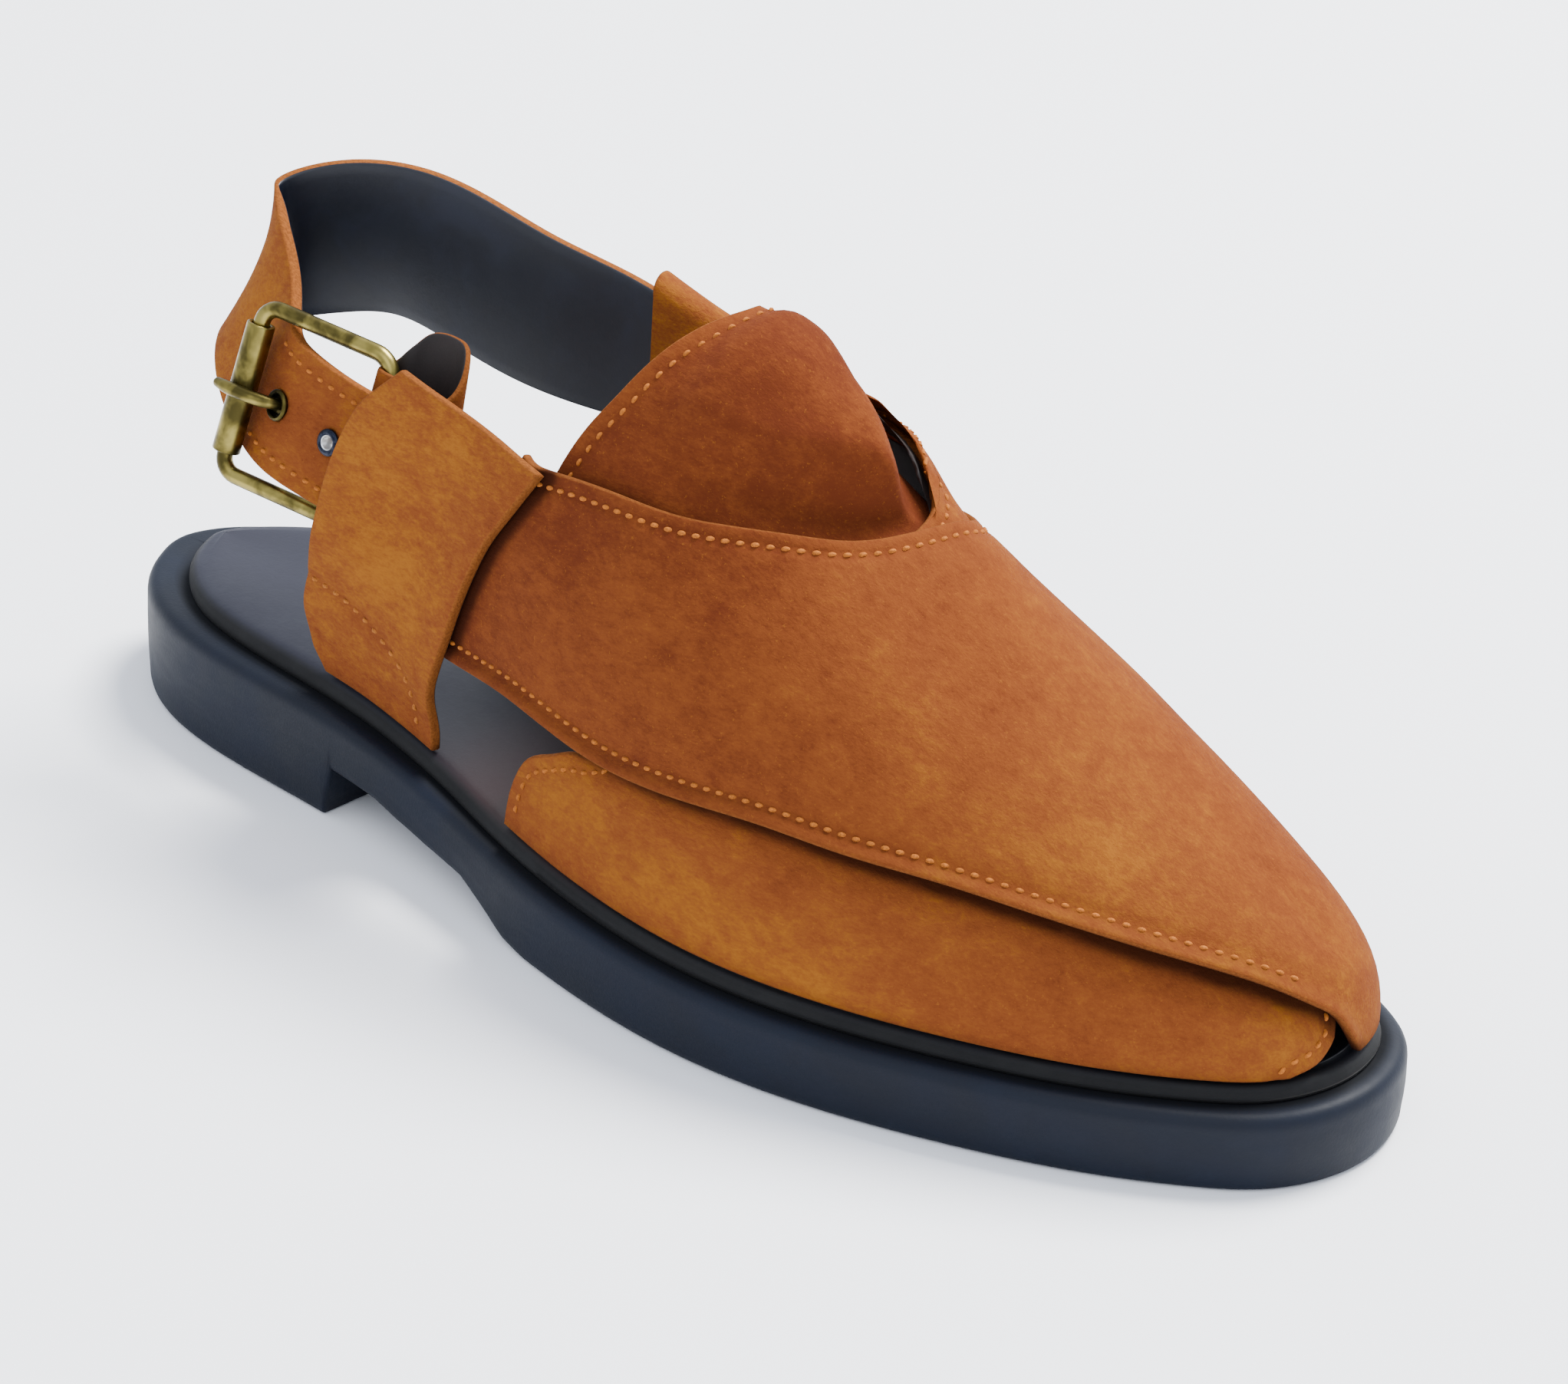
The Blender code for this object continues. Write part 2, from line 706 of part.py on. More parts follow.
def cap(points, ring, ring_x, height, columns):
    """Fills a ring of point numbers with rows across it, at a height that depends on x."""
    half = (len(ring) - 2) // 2
    faces, rows = [], []
    for i in range(half):
        first, last = ring[1 + i], ring[len(ring) - 1 - i]
        between = []
        for share in np.arange(1, columns) / columns:
            place = points[first] + (points[last] - points[first]) * share
            points.append(np.array([place[0], place[1], height(ring_x[1 + i])]))
            between.append(len(points) - 1)
        rows.append([first, *between, last])
    for end, row in ((ring[0], rows[0]), (ring[half + 1], rows[-1])):
        faces += [(end, a, b) for a, b in zip(row[:-1], row[1:])]
    faces += quads(np.array(rows))
    return faces


def add_layered(name, edge, levels, top, under, columns, look):
    """A flat piece with rounded edges: rings at (inset, height at x) levels, capped top and bottom."""
    ring = station_ring(edge, sole_stations())
    ring_x = ring[:, 0]
    points = []
    for depth, height in levels:
        flat = inset(ring, depth)
        points += [np.array([x, y, z]) for (x, y), z in zip(flat, height(ring_x))]
    grid = np.arange(len(points)).reshape(len(levels), len(ring))
    faces = quads(grid, wrap_columns=True)
    faces += cap(points, grid[0].tolist(), ring_x, top, columns)
    faces += cap(points, grid[-1].tolist(), ring_x, under, columns)
    return add_object(name, points, faces, look)


def add_outsole():
    """Rubber sole: heel block, breast step, raised waist and flat forefoot."""

    def top(x):
        return smooth(OUTSOLE_TOP, x)

    def under(x):
        return straight(OUTSOLE_UNDER, x)

    levels = (
        (3.4, top),
        (1.4, lambda x: top(x) - 0.5),
        (0.35, lambda x: top(x) - 1.7),
        (0.0, lambda x: top(x) - 3.4),
        (0.0, lambda x: (top(x) + under(x)) / 2 - 0.6),
        (0.2, lambda x: under(x) + 1.0),
        (1.1, under),
    )
    return add_layered("outsole", OUTSOLE_EDGE, levels, top, under, 6, RUBBER)


def add_insole():
    """Padded footbed, resting on the sole and rounded along its top edge."""

    def under(x):
        return smooth(OUTSOLE_TOP, x) + CLEARANCE

    levels = (
        (1.3, footbed_top),
        (0.35, lambda x: footbed_top(x) - 0.4),
        (0.0, lambda x: footbed_top(x) - 1.4),
        (0.0, under),
    )
    return add_layered("insole", FOOTBED_EDGE, levels, footbed_top, under, 4, FOOTBED)


# Panels over the foot


def patch(throat, front, start, end, down):
    """Grid in unrolled plan coordinates filled between four edges that meet at their ends."""
    down = down[:, None, None]
    along = np.linspace(0, 1, len(throat))[None, :, None]
    ruled = (1 - down) * throat[None] + down * front[None]
    crossed = (1 - along) * start[:, None] + along * end[:, None]
    corners = (1 - down) * ((1 - along) * throat[0] + along * throat[-1]) + down * (
        (1 - along) * front[0] + along * front[-1]
    )
    return ruled + crossed - corners


def leather_edge_run(start, end, side, shares):
    """Unrolled foot of the leather from one station to another, at shares of its length."""
    station = start + (end - start) * np.linspace(0, 1, 400)
    foot = np.stack([station, leather_edge_y(station, side)], axis=1)
    return along_line(foot, shares)


def panel_plan(throat, front, rear, side, columns, rows):
    """Unrolled grid of a panel, with its rows closer together towards the toe."""
    across = np.linspace(0, 1, columns)
    down = 1 - (1 - np.linspace(0, 1, rows)) ** ROW_CROWDING
    throat = even_curve(unrolled(throat), across)
    front = even_curve(unrolled(front), across)
    start = even_curve(unrolled(rear), down)
    end = leather_edge_run(throat[-1, 0], front[-1, 0], side, down)
    throat[-1], front[-1] = end[0], end[-1]
    start[0], start[-1] = throat[0], front[0]
    return patch(throat, front, start, end, down)


def under_panel_depth(plan):
    """How far the under panel dips: below the top panel, and where its rear end is tucked in."""
    station, wrap = rolled(plan)
    height = last_point(station, wrap)[..., 2] - footbed_top(station)
    outer = ease(height, 5, 19)
    throat = smooth(TOP_PANEL_THROAT_INNER, np.maximum(wrap, 0))
    crossed = UNDER_PANEL_DEPTH * ease(station - throat, -15, -3)
    tucked = UNDER_PANEL_TUCK * ease(-station, -142, -127)
    return np.where(wrap < 0, UNDER_PANEL_DEPTH * outer, np.maximum(crossed, tucked))


def add_upper():
    """The two crossed panels joined into one hollow wall."""
    top_plan = panel_plan(TOP_PANEL_THROAT, TOP_PANEL_FRONT, TOP_PANEL_REAR, 1, 36, 15)
    upper = add_sheet("upper", on_last(top_plan, 0), on_last(top_plan, -PANEL_THICKNESS), SUEDE)
    under_plan = panel_plan(UNDER_PANEL_THROAT, UNDER_PANEL_FRONT, UNDER_PANEL_REAR, -1, 34, 14)
    depth = under_panel_depth(under_plan)
    outer = on_last(under_plan, -depth)
    inner = on_last(under_plan, -depth - UNDER_PANEL_THICKNESS)
    under_panel = add_sheet("under_panel", outer, inner, SUEDE)
    combine(upper, under_panel, "UNION")
    return upper


def throat_line():
    """Edge of the opening at the throat, unrolled: the top panel's outside, the under panel's inside."""
    outer = even_curve(unrolled(TOP_PANEL_THROAT), np.linspace(0, 1, 300))
    inner = even_curve(unrolled(UNDER_PANEL_THROAT), np.linspace(0, 1, 300))
    return np.concatenate([outer[rolled(outer)[1] <= THROAT_CROSSING], inner[rolled(inner)[1] > THROAT_CROSSING]])


def tongue_offset(plan):
    """Height of the tongue's outer face: below the panels at its sides and front, lifted between."""
    station, wrap = rolled(plan)
    line = throat_line()
    edge_station, edge_wrap = rolled(line)
    order = np.argsort(edge_wrap)
    ahead = np.interp(wrap, edge_wrap[order], edge_station[order]) - station
    apart = np.linalg.norm(plan[..., None, :] - line, axis=-1).min(axis=-1)
    inside = ease(np.where(ahead > 0, apart, 0), 2.2, 10)
    across = np.cos(math.pi / 2 * np.minimum(np.abs(wrap) / 0.72, 1)) ** 2
    tucked = UNDER_PANEL_TUCK * ease(-station, -142, -127) * ease(wrap, 0.4, 0.7)
    beneath = TONGUE_DEPTH + UNDER_PANEL_DEPTH * ease(station, 158, 176) + tucked
    return smooth(TONGUE_LIFT, station) * across * inside - beneath


def add_tongue():
    """Padded leaf that stands up under the crossing and runs on forward below it."""
    shares = np.linspace(0, 1, 15)
    top = even_curve(unrolled(TONGUE_TOP), shares)
    tip_wraps = (shares * 2 - 1) * TONGUE_TIP_WRAP
    tip = unrolled(np.stack([np.full(len(shares), TONGUE_TIP_STATION), tip_wraps], axis=1))
    sides = [along_line([top[end], tip[end]], shares) for end in (0, -1)]
    plan = patch(top, tip, *sides, shares)
    offset = tongue_offset(plan)
    return add_sheet("tongue", on_last(plan, offset), on_last(plan, offset - TONGUE_THICKNESS), SUEDE)


# Side bands


def add_lateral_band():
    """Upright outer band on the last's surface, standing off to clear the strap and buckle inside."""
    columns, rows = 9, 15
    across = np.linspace(0, 1, columns)[None, :]
    up = np.linspace(0, 1, rows)[:, None]
    height = up * (OUTER_BAND_REAR[-1][0] * (1 - across) + OUTER_BAND_FRONT[-1][0] * across)
    rear = smooth(OUTER_BAND_REAR, up * OUTER_BAND_REAR[-1][0])
    front = smooth(OUTER_BAND_FRONT, up * OUTER_BAND_FRONT[-1][0])
    station = rear * (1 - across) + front * across
    ridge_rise = smooth(RIDGE, station, 2) - footbed_top(station)
    wrap = -np.sqrt(1 - (height / ridge_rise) ** 2)
    plan = unrolled(np.stack([station, wrap], -1))
    bulge = OUTER_BAND_BULGE * (1 - ease(across, 0, 0.75)) * ease(height, 14, 34)
    outer = OUTER_BAND_STANDOFF * ease(height, 2, 17) + bulge
    return add_sheet("lateral_band", on_last(plan, outer), on_last(plan, outer - BAND_THICKNESS), SUEDE)


def inner_band_middle(across, height):
    """Middle of the inner band's outer leg at a share across and a height over the footbed."""
    station = smooth(INNER_BAND_REAR, height) * (1 - across) + smooth(INNER_BAND_FRONT, height) * across
    y = leather_edge_y(station, 1) + smooth(INNER_BAND_STANCE, height)
    return np.stack([station, y, footbed_top(station) + LEATHER_FOOT_GAP + height], -1)


def add_medial_band():
    """Upright inner band, folded over the heel strap's end with a flap hanging on the inside."""
    columns, leg_rows, fold_rows, flap_rows = 8, 13, 7, 5
    radius = TUNNEL_WIDTH / 2
    across = np.linspace(0, 1, columns)
    top = INNER_BAND_TOP[0] * (1 - across) + INNER_BAND_TOP[1] * across - radius
    leg = [inner_band_middle(across, top * share) for share in np.linspace(0, 1, leg_rows)]
    crest = leg[-1]
    shift = FLAP_REAR_SHIFT * (1 - across)
    fold = []
    for angle in np.linspace(0, math.pi, fold_rows)[1:]:
        inwards = radius * (math.cos(angle) - 1)
        turn = angle / math.pi
        fold.append(crest + np.stack([shift * turn, across * 0 + inwards, across * 0 + radius * math.sin(angle)], 1))
    flap = []
    for share in np.linspace(0, 1, flap_rows)[1:]:
        below = leg[-1] - inner_band_middle(across, top - FLAP_DEPTH * share)
        hang = np.stack([shift * 0, -below[:, 1], across * 0 - FLAP_DEPTH * share], 1)
        flap.append(fold[-1] + hang)
    middle = np.array(leg + fold + flap)
    normal = unit(np.cross(np.gradient(middle, axis=1), np.gradient(middle, axis=0)))
    half = normal * BAND_THICKNESS / 2
    return add_sheet("medial_band", middle + half, middle - half, SUEDE)


# Heel strap and buckle


def ribbon(controls, count, closed=False):
    """Samples of a flat strip: middle, direction across its width, outward normal, other columns.

    An open strip is squared to its own run. A closed one keeps the lean given in its table.
    """
    controls = np.asarray(controls, float)
    knots = np.arange(len(controls) + closed, dtype=float)
    at = np.linspace(0, knots[-1], count, endpoint=not closed)
    sampled = spline(controls, at, knots, closed)
    middle = sampled[:, :3]
    upright = np.concatenate([sampled[:, 3:5], np.ones((count, 1))], axis=1)
    if closed:
        along = unit(np.roll(middle, -1, 0) - np.roll(middle, 1, 0))
    else:
        along = unit(np.gradient(middle, axis=0))
        upright = upright - along * (upright * along).sum(axis=1, keepdims=True)
    upright = unit(upright)
    return middle, upright, unit(np.cross(upright, along)), sampled[:, 5:]


def strip_grids(middle, upright, normal, width, thickness, columns):
    """Outer and inner grids of a strip with the given width and thickness at each sample."""
    across = np.linspace(-0.5, 0.5, columns)[:, None, None]
    flat = middle[None] + across * (upright * width[:, None])[None]
    half = (normal * thickness[:, None] / 2)[None]
    return flat + half, flat - half


def strap_place(at):
    """Middle, outward normal and thickness of the heel strap at a control number."""
    fine = 40
    middle, _, normal, sizes = ribbon(HEEL_STRAP, (len(HEEL_STRAP) - 1) * fine + 1)
    number = round(at * fine)
    return middle[number], normal[number], sizes[number, 1]


def add_heel_strap():
    """Strap round the heel, with a hole through it for the prong and one for the free eyelet."""
    middle, upright, normal, sizes = ribbon(HEEL_STRAP, 51)
    outer, inner = strip_grids(middle, upright, normal, sizes[:, 0], sizes[:, 1], 4)
    strap = add_sheet("heel_strap", outer, inner, SUEDE)
    for name, at, radii in (
        ("prong_hole", PRONG_HOLE_AT, PRONG_EYELET),
        ("free_hole", FREE_EYELET_AT, FREE_EYELET),
    ):
        centre, axis, _ = strap_place(at)
        combine(strap, add_pin(name, centre, axis, radii[1] + CLEARANCE, 6, 14, SUEDE), "DIFFERENCE")


def add_eyelet(name, at, radii):
    """Brass eyelet: a barrel through the strap with a flange on each face."""
    bore, barrel, flange = radii
    centre, axis, thickness = strap_place(at)
    face = thickness / 2 + EYELET_STANDOFF
    profile = (
        (bore, -face - 0.4),
        (flange - 0.4, -face - 0.4),
        (flange - 0.4, -face),
        (barrel, -face),
        (barrel, face),
        (flange, face),
        (flange, face + 0.3),
        ((bore + flange) / 2, face + 0.7),
        (bore, face + 0.4),
    )
    add_turned(name, centre, axis, profile, 14, BRASS)


def buckle_frame_axes():
    """The buckle's own directions: towards the fixed bar, outwards from the foot, up the bar."""
    forward = unit(BUCKLE_FORWARD)
    up = unit(np.asarray(BUCKLE_UP) - forward * np.dot(BUCKLE_UP, forward))
    return forward, np.cross(forward, up), up


def in_buckle(forward, outwards, up):
    """Points given along the buckle's own directions from the roller's middle."""
    axes = np.stack(buckle_frame_axes())
    return np.asarray(ROLLER_MIDDLE) + np.stack(np.broadcast_arrays(forward, outwards, up), -1) @ axes


def add_buckle_frame():
    """Brass wire bent to a rectangle: the roller's side at its rear and the fixed bar at its front."""
    half = BUCKLE_WIDTH / 2
    corners = (
        (0, -half, ROLLER_CORNER, 180),
        (BUCKLE_LENGTH, -half, BAR_CORNER, 270),
        (BUCKLE_LENGTH, half, BAR_CORNER, 0),
        (0, half, ROLLER_CORNER, 90),
    )
    path = []
    for forward, up, radius, start in corners:
        centre_forward = forward + (radius if forward == 0 else -radius)
        centre_up = up - math.copysign(radius, up)
        for angle in np.radians(start + np.linspace(0, 90, 6)):
            path.append((centre_forward + radius * math.cos(angle), centre_up + radius * math.sin(angle)))
    path = np.array(path)
    points = in_buckle(path[:, 0], 0.0, path[:, 1])
    add_tube("buckle_frame", points, WIRE_RADIUS, buckle_frame_axes()[1], 8, BRASS, closed=True)


def add_buckle_roller():
    """Hollow roller turning loosely on the frame's rear side."""
    half = ROLLER_LENGTH / 2
    bore = WIRE_RADIUS + 0.25
    profile = ((bore, -half), (ROLLER_RADIUS, -half), (ROLLER_RADIUS, half), (bore, half))
    add_turned("buckle_roller", ROLLER_MIDDLE, buckle_frame_axes()[2], profile, 16, BRASS)


def add_buckle_prong():
    """Prong: a ring round the fixed bar, then a shank through the strap's hole and over the roller."""
    ring_radius = WIRE_RADIUS + 0.15 + PRONG_RING_WIRE
    angles = np.radians(np.linspace(PRONG_RING_START, 270, 12))
    ring = [
        (BUCKLE_LENGTH + ring_radius * math.cos(angle), ring_radius * math.sin(angle), PRONG_RING_WIRE)
        for angle in angles
    ]
    shank = np.array(ring + list(PRONG_SHANK))
    points = in_buckle(shank[:, 0], shank[:, 1], 0.0)
    add_tube("buckle_prong", points, shank[:, 2], buckle_frame_axes()[2], 7, BRASS)


def add_buckle_anchor():
    """Suede strip closed round the fixed bar, slotted for the prong, with its slack loop in front."""
    middle, upright, normal, sizes = ribbon(ANCHOR_PATH, 44, closed=True)
    thickness = np.full(44, ANCHOR_THICKNESS)
    outer, inner = strip_grids(middle, upright, normal, sizes[:, 0], thickness, 3)
    anchor = add_sheet("buckle_anchor", outer, inner, SUEDE_DARK, closed=True)
    length, depth, height = ANCHOR_SLOT
    corner = np.array([-0.5, 0.5])
    forward, outwards, up = np.meshgrid(BUCKLE_LENGTH + corner * length, corner * depth, corner * height)
    points = in_buckle(forward.ravel(), outwards.ravel(), up.ravel())
    faces = [(0, 1, 3, 2), (4, 5, 7, 6), (0, 1, 5, 4), (2, 3, 7, 6), (0, 2, 6, 4), (1, 3, 7, 5)]
    combine(anchor, add_object("prong_slot", points, faces, SUEDE_DARK), "DIFFERENCE")


def main():
    for existing in list(bpy.data.objects):
        bpy.data.objects.remove(existing)
    add_outsole()
    add_insole()
    add_upper()
    add_tongue()
    add_lateral_band()
    add_medial_band()
    add_heel_strap()
    add_eyelet("eyelet_prong", PRONG_HOLE_AT, PRONG_EYELET)
    add_eyelet("eyelet_free", FREE_EYELET_AT, FREE_EYELET)
    add_buckle_frame()
    add_buckle_roller()
    add_buckle_prong()
    add_buckle_anchor()


if __name__ == "__main__":
    main()
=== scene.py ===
"""Looks of a right peshawari chappal: suede panels, bands and straps with their seams, a dark
footbed, a rubber sole and an aged brass roller buckle.

Sizes are in millimetres in the shoe's own frame: x runs from the heel's back to the toe, y to the
inner side of the foot, z up from the floor. Meshes are shifted by ORIGIN and scaled to metres at
the end, which puts them on the solids of the frame. The uppers lie on one surface, the last: a
ridge over the foot joined to the footbed's edge by quarter ellipses. A place on it has a station
(the x of its foot on the footbed) and a wrap (-1 at the outer foot, 0 on the ridge, +1 at the
inner foot).
"""

import math

import bmesh
import bpy
import numpy as np
from mathutils import Euler, Matrix, Vector


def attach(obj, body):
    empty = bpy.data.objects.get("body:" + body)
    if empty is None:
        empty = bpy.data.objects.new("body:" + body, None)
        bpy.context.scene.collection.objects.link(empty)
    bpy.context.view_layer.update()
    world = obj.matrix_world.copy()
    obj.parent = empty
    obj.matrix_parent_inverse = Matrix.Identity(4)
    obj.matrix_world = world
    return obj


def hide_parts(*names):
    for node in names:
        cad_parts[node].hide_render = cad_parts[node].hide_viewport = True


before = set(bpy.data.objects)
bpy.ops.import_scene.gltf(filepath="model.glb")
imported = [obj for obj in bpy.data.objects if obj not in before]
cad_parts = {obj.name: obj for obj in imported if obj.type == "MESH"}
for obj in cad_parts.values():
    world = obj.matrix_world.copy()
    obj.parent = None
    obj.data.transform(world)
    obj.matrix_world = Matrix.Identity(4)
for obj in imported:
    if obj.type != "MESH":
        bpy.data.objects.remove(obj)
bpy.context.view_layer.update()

bl_info = {
    "name": "Peshawari chappal looks",
    "version": (1, 0, 0),
    "blender": (4, 5, 0),
    "location": "View3D > Sidebar > Chappal",
    "description": "Builds the visible pieces of a suede peshawari chappal on its solids",
    "category": "Object",
}

METRES = 0.001

# Shape of the last and the sole

# Outline of the outsole: heel's back, toe's tip, and (x, outer edge y, inner edge y) between them.
HEEL_BACK = (1.5, 0.0)
TOE_TIP = (298.5, 10.0)
OUTLINE_STATIONS = (
    (4.5, -8.5, 9.5), (11, -17, 17), (24, -26, 26.5), (45, -31.8, 32), (78, -34.2, 32),
    (110, -37.5, 30.5), (139, -44, 32.5), (170, -49.5, 39.5), (197, -50, 45), (222, -45.5, 48),
    (246, -37.5, 47.5), (266, -28.5, 43.5), (282, -18.5, 37), (293, -8, 28),
)
# (x, height of the outsole's top)
OUTSOLE_TOP = (
    (0, 22.6), (60, 22.3), (85, 21.6), (110, 19.3), (135, 16.6), (160, 15.2), (200, 14.4),
    (250, 14.3), (280, 14.4), (298.5, 14.8),
)
# (x, height of the outsole's underside): heel block, breast step, raised waist, forefoot
OUTSOLE_UNDER = (
    (0, 0), (82, 0), (84.5, 10.6), (97, 10), (105, 8.4), (115, 7.3), (127, 6.8), (136, 3.4),
    (141, 1), (148, 0), (298.5, 0),
)
HEEL_BREAST = (82, 84.5)
# (x, how far the footbed's edge is set in from the outsole's)
FOOTBED_MARGIN = (
    (0, 10.5), (15, 8.5), (40, 6.5), (80, 5.3), (110, 4.4), (140, 3.8), (200, 4.2), (260, 4.4),
    (298.5, 5.0),
)
# (x, thickness of the footbed)
FOOTBED_THICKNESS = ((0, 4.8), (90, 4.7), (180, 4.0), (298, 3.6))
LEATHER_SET_IN = 0.6
LEATHER_FOOT_GAP = 0.5
# Ridge of the last over the foot: (x, y, z)
RIDGE = (
    (60, 2, 150), (100, 3.5, 138), (130, 5.5, 126.5), (150, 7, 116.5), (170, 8.5, 104.5),
    (195, 9.8, 89), (223, 10.5, 73), (243, 10.5, 62.2), (262, 10.5, 51.5), (275, 10.5, 44.5),
    (286, 10.5, 37),
)
RIDGE_END = 286
FAN_START = 225

PANEL_THICKNESS = 2.2
UNDER_PANEL_THICKNESS = 2.0
UNDER_PANEL_DEPTH = 1.2
UNDER_PANEL_TUCK = 3.0
ROW_CROWDING = 1.35
# Top panel, which crosses from the outer band to the inner side of the toes: (station, wrap)
TOP_PANEL_THROAT = (
    (128.6, -0.77), (131.6, -0.77), (152.3, -0.69), (169.5, -0.59), (184.6, -0.43), (194.7, -0.22),
    (197.7, 0.2), (194, 0.4), (186, 0.56), (175, 0.75), (162.5, 0.88), (153, 0.955), (146, 1.0),
)
TOP_PANEL_FRONT = (
    (111.5, -0.98), (132, -0.97), (158.9, -0.96), (181, -0.94), (199.7, -0.91), (216.4, -0.885),
    (231.5, -0.853), (246, -0.822), (260, -0.784), (274.4, -0.742), (286.5, -0.712), (291, -0.775),
    (292.5, -0.87), (292.88, -0.97), (292.7, 1.0),
)
TOP_PANEL_REAR = ((128.6, -0.77), (124.6, -0.84), (118.5, -0.91), (114, -0.955), (111.5, -0.98))
# Under panel, which crosses from the inner band to the outer side of the toes: (station, wrap)
UNDER_PANEL_THROAT = (
    (124.5, 0.72), (130.0, 0.72), (139.5, 0.71), (159, 0.66), (176, 0.47), (186.5, 0.27),
    (194.5, 0.02), (195.5, -0.3), (186, -0.62), (175, -0.8), (162, -0.955), (153.3, -0.972),
    (146.3, -0.982), (139.7, -0.992), (136.6, -1.0),
)
UNDER_PANEL_FRONT = (
    (112, 0.975), (132, 0.968), (159, 0.955), (181, 0.935), (200, 0.91), (216, 0.88), (232, 0.85),
    (246, 0.82), (260, 0.77), (274, 0.75), (287, 0.72), (292.3, 0.8), (292.8, -0.82),
    (292.8, -0.94), (292.4, -0.985), (291.4, -0.998), (289.6, -1.0),
)
UNDER_PANEL_REAR = ((124.5, 0.72), (119.5, 0.82), (114.5, 0.91), (112, 0.975))
# Throat of the top panel on the inner side, below which the under panel passes: (wrap, station)
TOP_PANEL_THROAT_INNER = (
    (0.0, 197.5), (0.25, 197.7), (0.4, 194), (0.56, 186), (0.75, 175), (0.88, 162.5), (0.955, 153),
    (1.0, 146),
)

# Tongue: outline (station, wrap), (station, lift of its crown), its depth in the last where it
# isn't lifted, and the wrap at which the throat's edge passes from the top panel to the under one
TONGUE_THICKNESS = 1.8
TONGUE_DEPTH = 2.9
THROAT_CROSSING = 0.1
TONGUE_TOP = (
    (134.2, -0.78), (138.8, -0.66), (143.2, -0.54), (147.4, -0.36), (150.6, -0.18), (152.3, 0.02),
    (150, 0.2), (146, 0.4), (140, 0.6), (133, 0.76),
)
TONGUE_TIP_STATION = 235
TONGUE_TIP_WRAP = 0.5
TONGUE_LIFT = (
    (130, 2.0), (145, 2.6), (152, 3.6), (158, 8.8), (165, 10.6), (171, 10.6), (176, 11.4),
    (182, 12.0), (187, 12.0), (192, 11.0), (200, 7.0),
)
# How far the crown lies to the outer side of the ridge, as a share of the wrap
TONGUE_CROWN_SHIFT = 0.08

# Side bands: (height over the footbed, x of the rear edge), (height, x of the front edge)
BAND_THICKNESS = 2.2
OUTER_BAND_STANDOFF = 2.9
OUTER_BAND_BULGE = 3.1
OUTER_BAND_REAR = (
    (0, 76.6), (5, 72.8), (12, 72.8), (24, 76.4), (33, 79.0), (46, 82.4), (59, 88.4), (70, 98.8),
)
OUTER_BAND_FRONT = (
    (0, 110.4), (8, 110.8), (18, 113.8), (28, 117.4), (38, 120.8), (49, 125.4), (58, 130.8),
    (66.5, 135.8),
)
INNER_BAND_REAR = (
    (0, 77), (10, 74.5), (22, 80), (35, 90.5), (55, 101), (72, 108), (80, 111.5),
)
INNER_BAND_FRONT = (
    (0, 110), (18, 113.5), (35, 118), (55, 124), (70, 128), (80, 129.5),
)
# (height over the footbed, distance of the inner band's middle outside the foot of the leather)
INNER_BAND_STANCE = ((0, -1.15), (4, -1.0), (18, 1.25), (40, 2.2), (64, 3.2), (80, 3.6))
INNER_BAND_TOP = (80.5, 77.5)
TUNNEL_WIDTH = 5.8
FLAP_DEPTH = 25
FLAP_REAR_SHIFT = 3

# Heel strap, from its tail in the outer band round the heel to the inner band:
# (x, y, z of its middle, x and y that its width gains for each mm of height, width, thickness)
HEEL_STRAP = (
    (106, -27.3, 71.7, 0.13, 0.13, 26, 2.0),
    (92, -26.4, 73.3, 0.12, 0.19, 26, 2.0),
    (79, -26.5, 75.0, 0.14, 0.24, 25.2, 2.0),
    (65.4, -26.35, 77.5, 0.2, 0.26, 26, 2.1),
    (55, -22.6, 80.2, 0.49, 0.2, 27, 2.5),
    (44.1, -15.2, 85.6, 0.76, 0.18, 29.5, 2.6),
    (35.2, -6.8, 91.9, 0.63, -0.05, 31, 2.6),
    (34.2, 2.2, 94.1, 0.09, -0.29, 31.5, 2.6),
    (43.4, 10.8, 97.2, -0.11, -0.18, 31.5, 2.6),
    (59.7, 16.8, 97.3, 0.18, 0.04, 31.5, 2.6),
    (81.4, 20.8, 91.6, 0.2, 0.09, 31, 2.6),
    (103, 24.6, 88.6, 0.08, 0.07, 28.4, 2.4),
    (122, 26.25, 86.6, 0.05, 0.06, 23, 2.2),
)
PRONG_HOLE_AT = 3.19
FREE_EYELET_AT = 2.1

# Roller buckle: place of the roller's middle, direction towards the fixed bar, and up along the bar
ROLLER_MIDDLE = (54.1, -27.95, 79.5)
BUCKLE_FORWARD = (0.962, 0.222, -0.155)
BUCKLE_UP = (0.082, 0.292, 0.953)
BUCKLE_LENGTH = 30.2
BUCKLE_WIDTH = 33.8
WIRE_RADIUS = 1.6
ROLLER_LENGTH = 26
ROLLER_RADIUS = 2.75
ROLLER_CORNER = 3.4
BAR_CORNER = 5.0
PRONG_RING_WIRE = 0.85
# The ring's wire runs from one angle to the other round the fixed bar, in degrees
PRONG_RING_START = 555
PRONG_RING_END = 270
# Prong from its ring to its tip: (distance from the roller, height over the frame, radius)
PRONG_SHANK = (
    (27, -2.6, 0.9), (23.5, -2.4, 1.0), (18, -2.2, 1.1), (13.6, -2.3, 1.1), (11.4, -2.0, 1.0),
    (10.2, -1.0, 1.0), (9.4, 0.2, 1.0), (8.6, 1.4, 1.05), (7.2, 2.8, 1.25), (4.6, 4.0, 1.3),
    (1.4, 4.35, 1.3), (-1.4, 4.2, 1.25), (-3.5, 3.7, 1.0),
)
